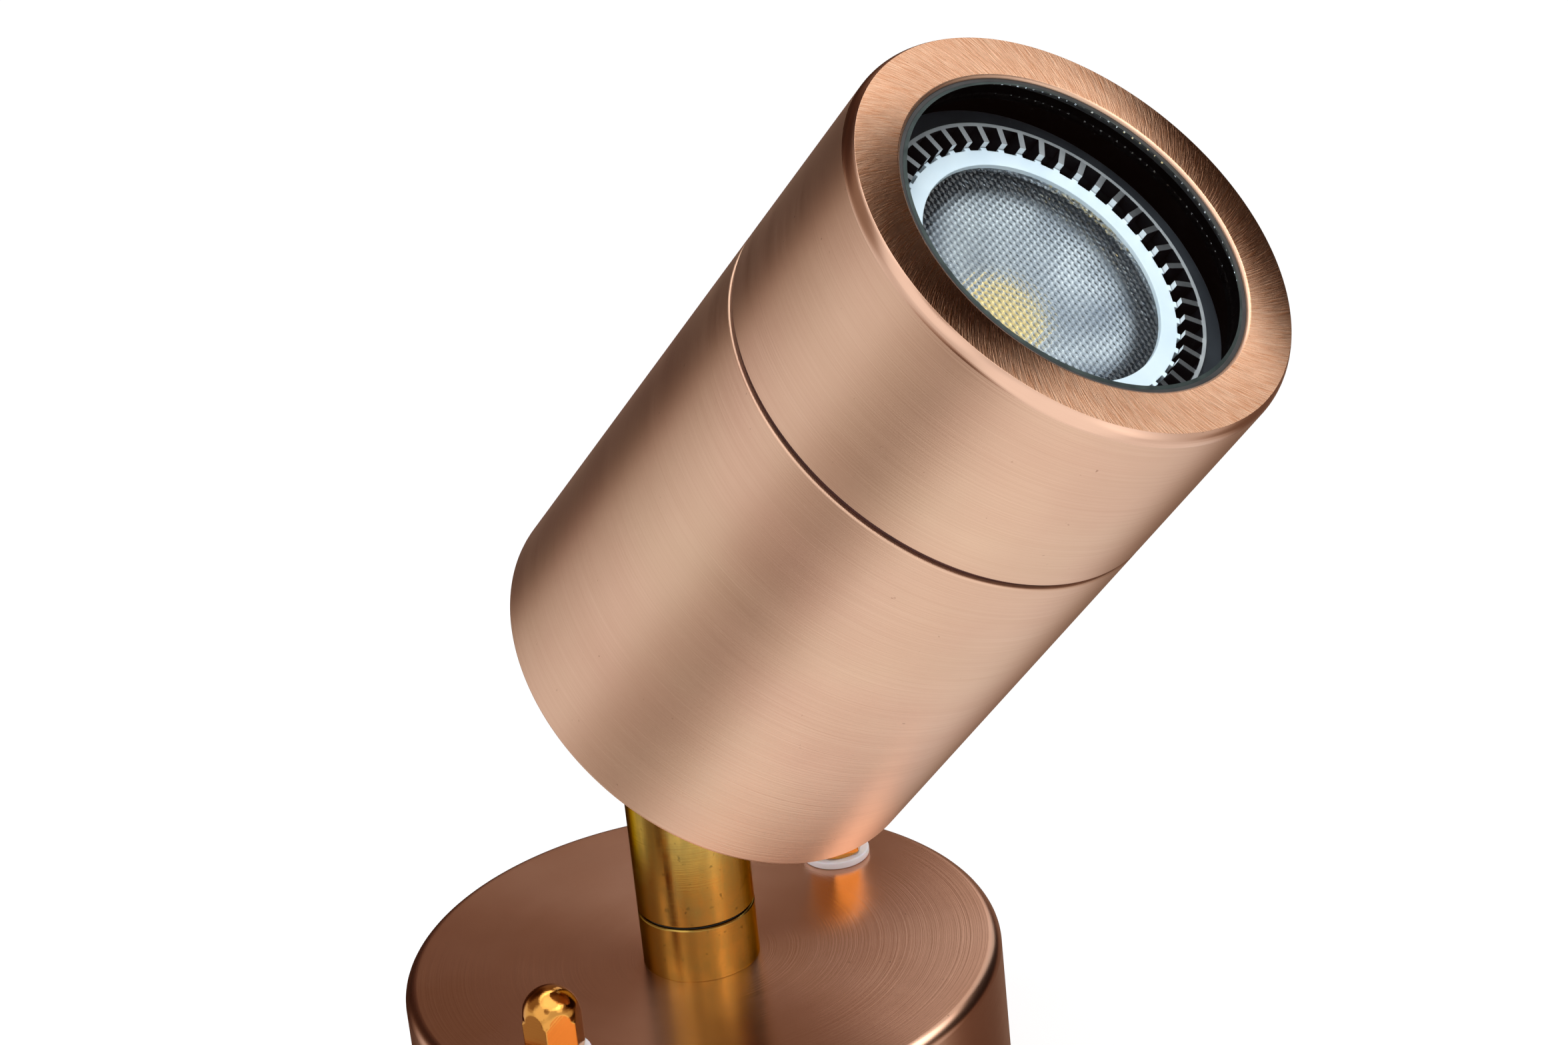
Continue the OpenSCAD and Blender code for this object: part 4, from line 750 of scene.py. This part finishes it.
# Painted light: the fins' fronts are lighter on one side of the lamp
across_lean = vectors(tree, "DOT_PRODUCT", outward, (cos(tilt), 0.0, -sin(tilt)))
painted_lit_side = step_between(tree, across_lean, 0.1, -0.8, soft=True)
at_rim = step_between(tree, beside, rim_r - rim_in, rim_r - rim_edge)
fronts_with_painted_light = blend_colours(tree, maths(tree, "MAXIMUM", ramp(tree, painted_lit_side, 0.06, 0.55), maths(
    tree, "MULTIPLY", at_rim, 0.5)), (0.012, 0.012, 0.014, 1), bare)
fins_with_painted_light = blend_colours(tree, painted_lit_fronts, (0.006, 0.006, 0.008, 1), fronts_with_painted_light)
fins_with_painted_light = blend_colours(tree, painted_tip_highlight, fins_with_painted_light, (0.80, 0.84, 0.87, 1))
relief = shader.inputs["Normal"].links[0].from_node
front_slope = -0.35
sloped = node(tree, "ShaderNodeVectorMath", {0: outward, "Scale": maths(tree, "MULTIPLY", painted_lit_fronts, front_slope)},
              operation="SCALE").outputs[0]
feed(tree, relief.inputs, {"Normal": vectors(tree, "NORMALIZE", vectors(
    tree, "ADD", relief.inputs["Normal"].links[0].from_socket, sloped))})
feed(tree, shader.inputs, {"Base Color": fins_with_painted_light, "Metallic": ramp(tree, painted_lit_fronts, 0.0, 0.35), "Roughness": 0.42})
dress(cast, "lamp_heatsink")
dress(plain_finish("white_plastic", (0.74, 0.84, 0.92), (0.66, 0.77, 0.87), 0.35), "lamp_front_ring", "lamp_base")
lens_low, lens_high, lens_r = reach_along("lamp_lens", pivot, head_axis)
# The bowl's strong light and dark cloud is painted reflection, standing in for a faceted reflector
bowl = plain_finish("reflector_plastic", (0.97, 1.0, 1.0), (0.30, 0.34, 0.39), 0.30, cloud=0.0075)
tree = bowl.node_tree
shader = tree.nodes["Principled BSDF"]
own = lathe_axis_frame(tree, pivot, tilt)
# Painted shade: the bowl goes dark next to the lens edge
bowl_edge, lens_seat = lens_low - 1.9 * mm, lens_low - 0.9 * mm
painted_shade_by_lens = step_between(tree, node(tree, "ShaderNodeSeparateXYZ", {0: own}).outputs[2], bowl_edge, lens_seat)
feed(tree, shader.inputs, {"Base Color": blend_colours(
    tree, painted_shade_by_lens, shader.inputs["Base Color"].links[0].from_socket, (0.035, 0.04, 0.045, 1))})
dress(bowl, "lamp_reflector")
dress(plain_finish("board", (0.80, 0.82, 0.80), (0.72, 0.74, 0.72), 0.5), "led_board")
# The LED chip has a painted glow: it emits light though the lamp is off
dress(plain_finish("phosphor", (1.0, 0.78, 0.33), (0.98, 0.66, 0.20), 0.45,
                   **{"Emission Color": (1.0, 0.70, 0.30, 1), "Emission Strength": 0.35}), "led_chip")

prism_pitch, prism_depth, prism_rim = 1.06 * mm, 0.07 * mm, 0.3 * mm
lens_turn, weld = radians(36), 0.02 * mm
columns = int(2.5 * lens_r / prism_pitch)
rows = int(2.2 * lens_r / (prism_pitch * sin(pi / 3)))
bpy.ops.object.select_all(action="DESELECT")
bpy.ops.mesh.primitive_circle_add(vertices=6, radius=prism_pitch / 3 ** 0.5, fill_type="NGON")
lens = bpy.context.object
lens.name = "lens_prisms"
for name, count, way in (("column", columns, (prism_pitch, 0, 0)), ("row", rows, (
        prism_pitch / 2, prism_pitch * sin(pi / 3), 0))):
    copies = lens.modifiers.new(name, "ARRAY")
    copies.count, copies.use_relative_offset, copies.use_constant_offset = count, False, True
    copies.constant_offset_displace = way
    copies.use_merge_vertices, copies.merge_threshold = True, weld
    bpy.ops.object.modifier_apply(modifier=copies.name)
bpy.ops.object.mode_set(mode="EDIT")
bpy.ops.mesh.select_all(action="SELECT")
bpy.ops.mesh.remove_doubles(threshold=weld)
middle = Vector((columns - 1 + (rows - 1) / 2, (rows - 1) * sin(pi / 3), 0)) * prism_pitch / 2
bpy.ops.transform.translate(value=-middle)
bpy.ops.mesh.extrude_region_move(TRANSFORM_OT_translate={"value": (0, 0, lens_high - lens_low - prism_depth)})
bpy.ops.mesh.select_all(action="SELECT")
bpy.ops.mesh.normals_make_consistent(inside=False)
bpy.ops.object.mode_set(mode="OBJECT")
for face in lens.data.polygons:
    face.select = face.normal.z > 0.9 and face.center.z > 0 and face.center.xy.length < lens_r - prism_rim
bpy.ops.object.mode_set(mode="EDIT")
bpy.ops.mesh.select_mode(type="FACE")
bpy.ops.mesh.poke(offset=prism_depth)
bpy.ops.object.mode_set(mode="OBJECT")
bpy.ops.object.select_all(action="DESELECT")
bpy.ops.mesh.primitive_cylinder_add(vertices=160, radius=lens_r, depth=4 * (lens_high - lens_low))
disc = bpy.context.object
cut = lens.modifiers.new("round", "BOOLEAN")
cut.operation, cut.solver, cut.object = "INTERSECT", "EXACT", disc
bpy.context.view_layer.objects.active = lens
bpy.ops.object.modifier_apply(modifier=cut.name)
bpy.data.objects.remove(disc)
set_in(lens, (0, 0, lens_low), (0, 0, lens_turn))
set_in(lens, pivot, (0, tilt, 0))
material, tree, shader, place = new_finish("lens_plastic")
own = lathe_axis_frame(tree, pivot, tilt)
tone = use_group(tree, uneven, {"Vector": own, "Cloud Size": 0.005, "Speck Size": 0.001, "Speck Share": 0.5})
# Painted shade: the lens is darker towards its rim
shade_start, shade_end = lens_r - 4.5 * mm, lens_r - 1.2 * mm
painted_lens_rim_shade = step_between(tree, from_axis(tree, own), shade_start, shade_end)

# Painted light: each prism is painted bright in its middle and dark along its edges
wave = 0.0
for k in range(3):
    ray = lens_turn + pi / 6 + k * pi / 3
    across_rows = Vector((cos(ray), sin(ray), 0)) * 4 * pi / (3 ** 0.5 * prism_pitch)
    wave = maths(tree, "ADD", maths(tree, "COSINE", vectors(tree, "DOT_PRODUCT", own, across_rows)), wave)
painted_prism_light = step_between(tree, wave, -1.2, 1.6, soft=True)
painted_prism_edge_shade = blend_colours(tree, painted_lens_rim_shade, (0.42, 0.45, 0.49, 1), (0.13, 0.15, 0.18, 1))
painted_prism_middle_light = blend_colours(tree, painted_lens_rim_shade, (0.99, 0.99, 1.0, 1), (0.62, 0.65, 0.69, 1))
feed(tree, shader.inputs, {
    "Base Color": blend_colours(tree, painted_prism_light, painted_prism_edge_shade, painted_prism_middle_light), "Roughness": ramp(tree, tone["Cloud"], 0.03, 0.06),
    "IOR": 1.49, "Transmission Weight": 1.0})
let_light_through(tree, shader, (0.96, 0.98, 1.0, 1))
fit(lens, material, "head", "lamp_lens")


# Lampholder: a block of fired steatite ceramic with two sockets for the lamp's pins. It is held by the
# steel bracket in the rear housing.
dress(plain_finish("ceramic", (0.82, 0.78, 0.68), (0.74, 0.69, 0.58), 0.3), "lampholder")
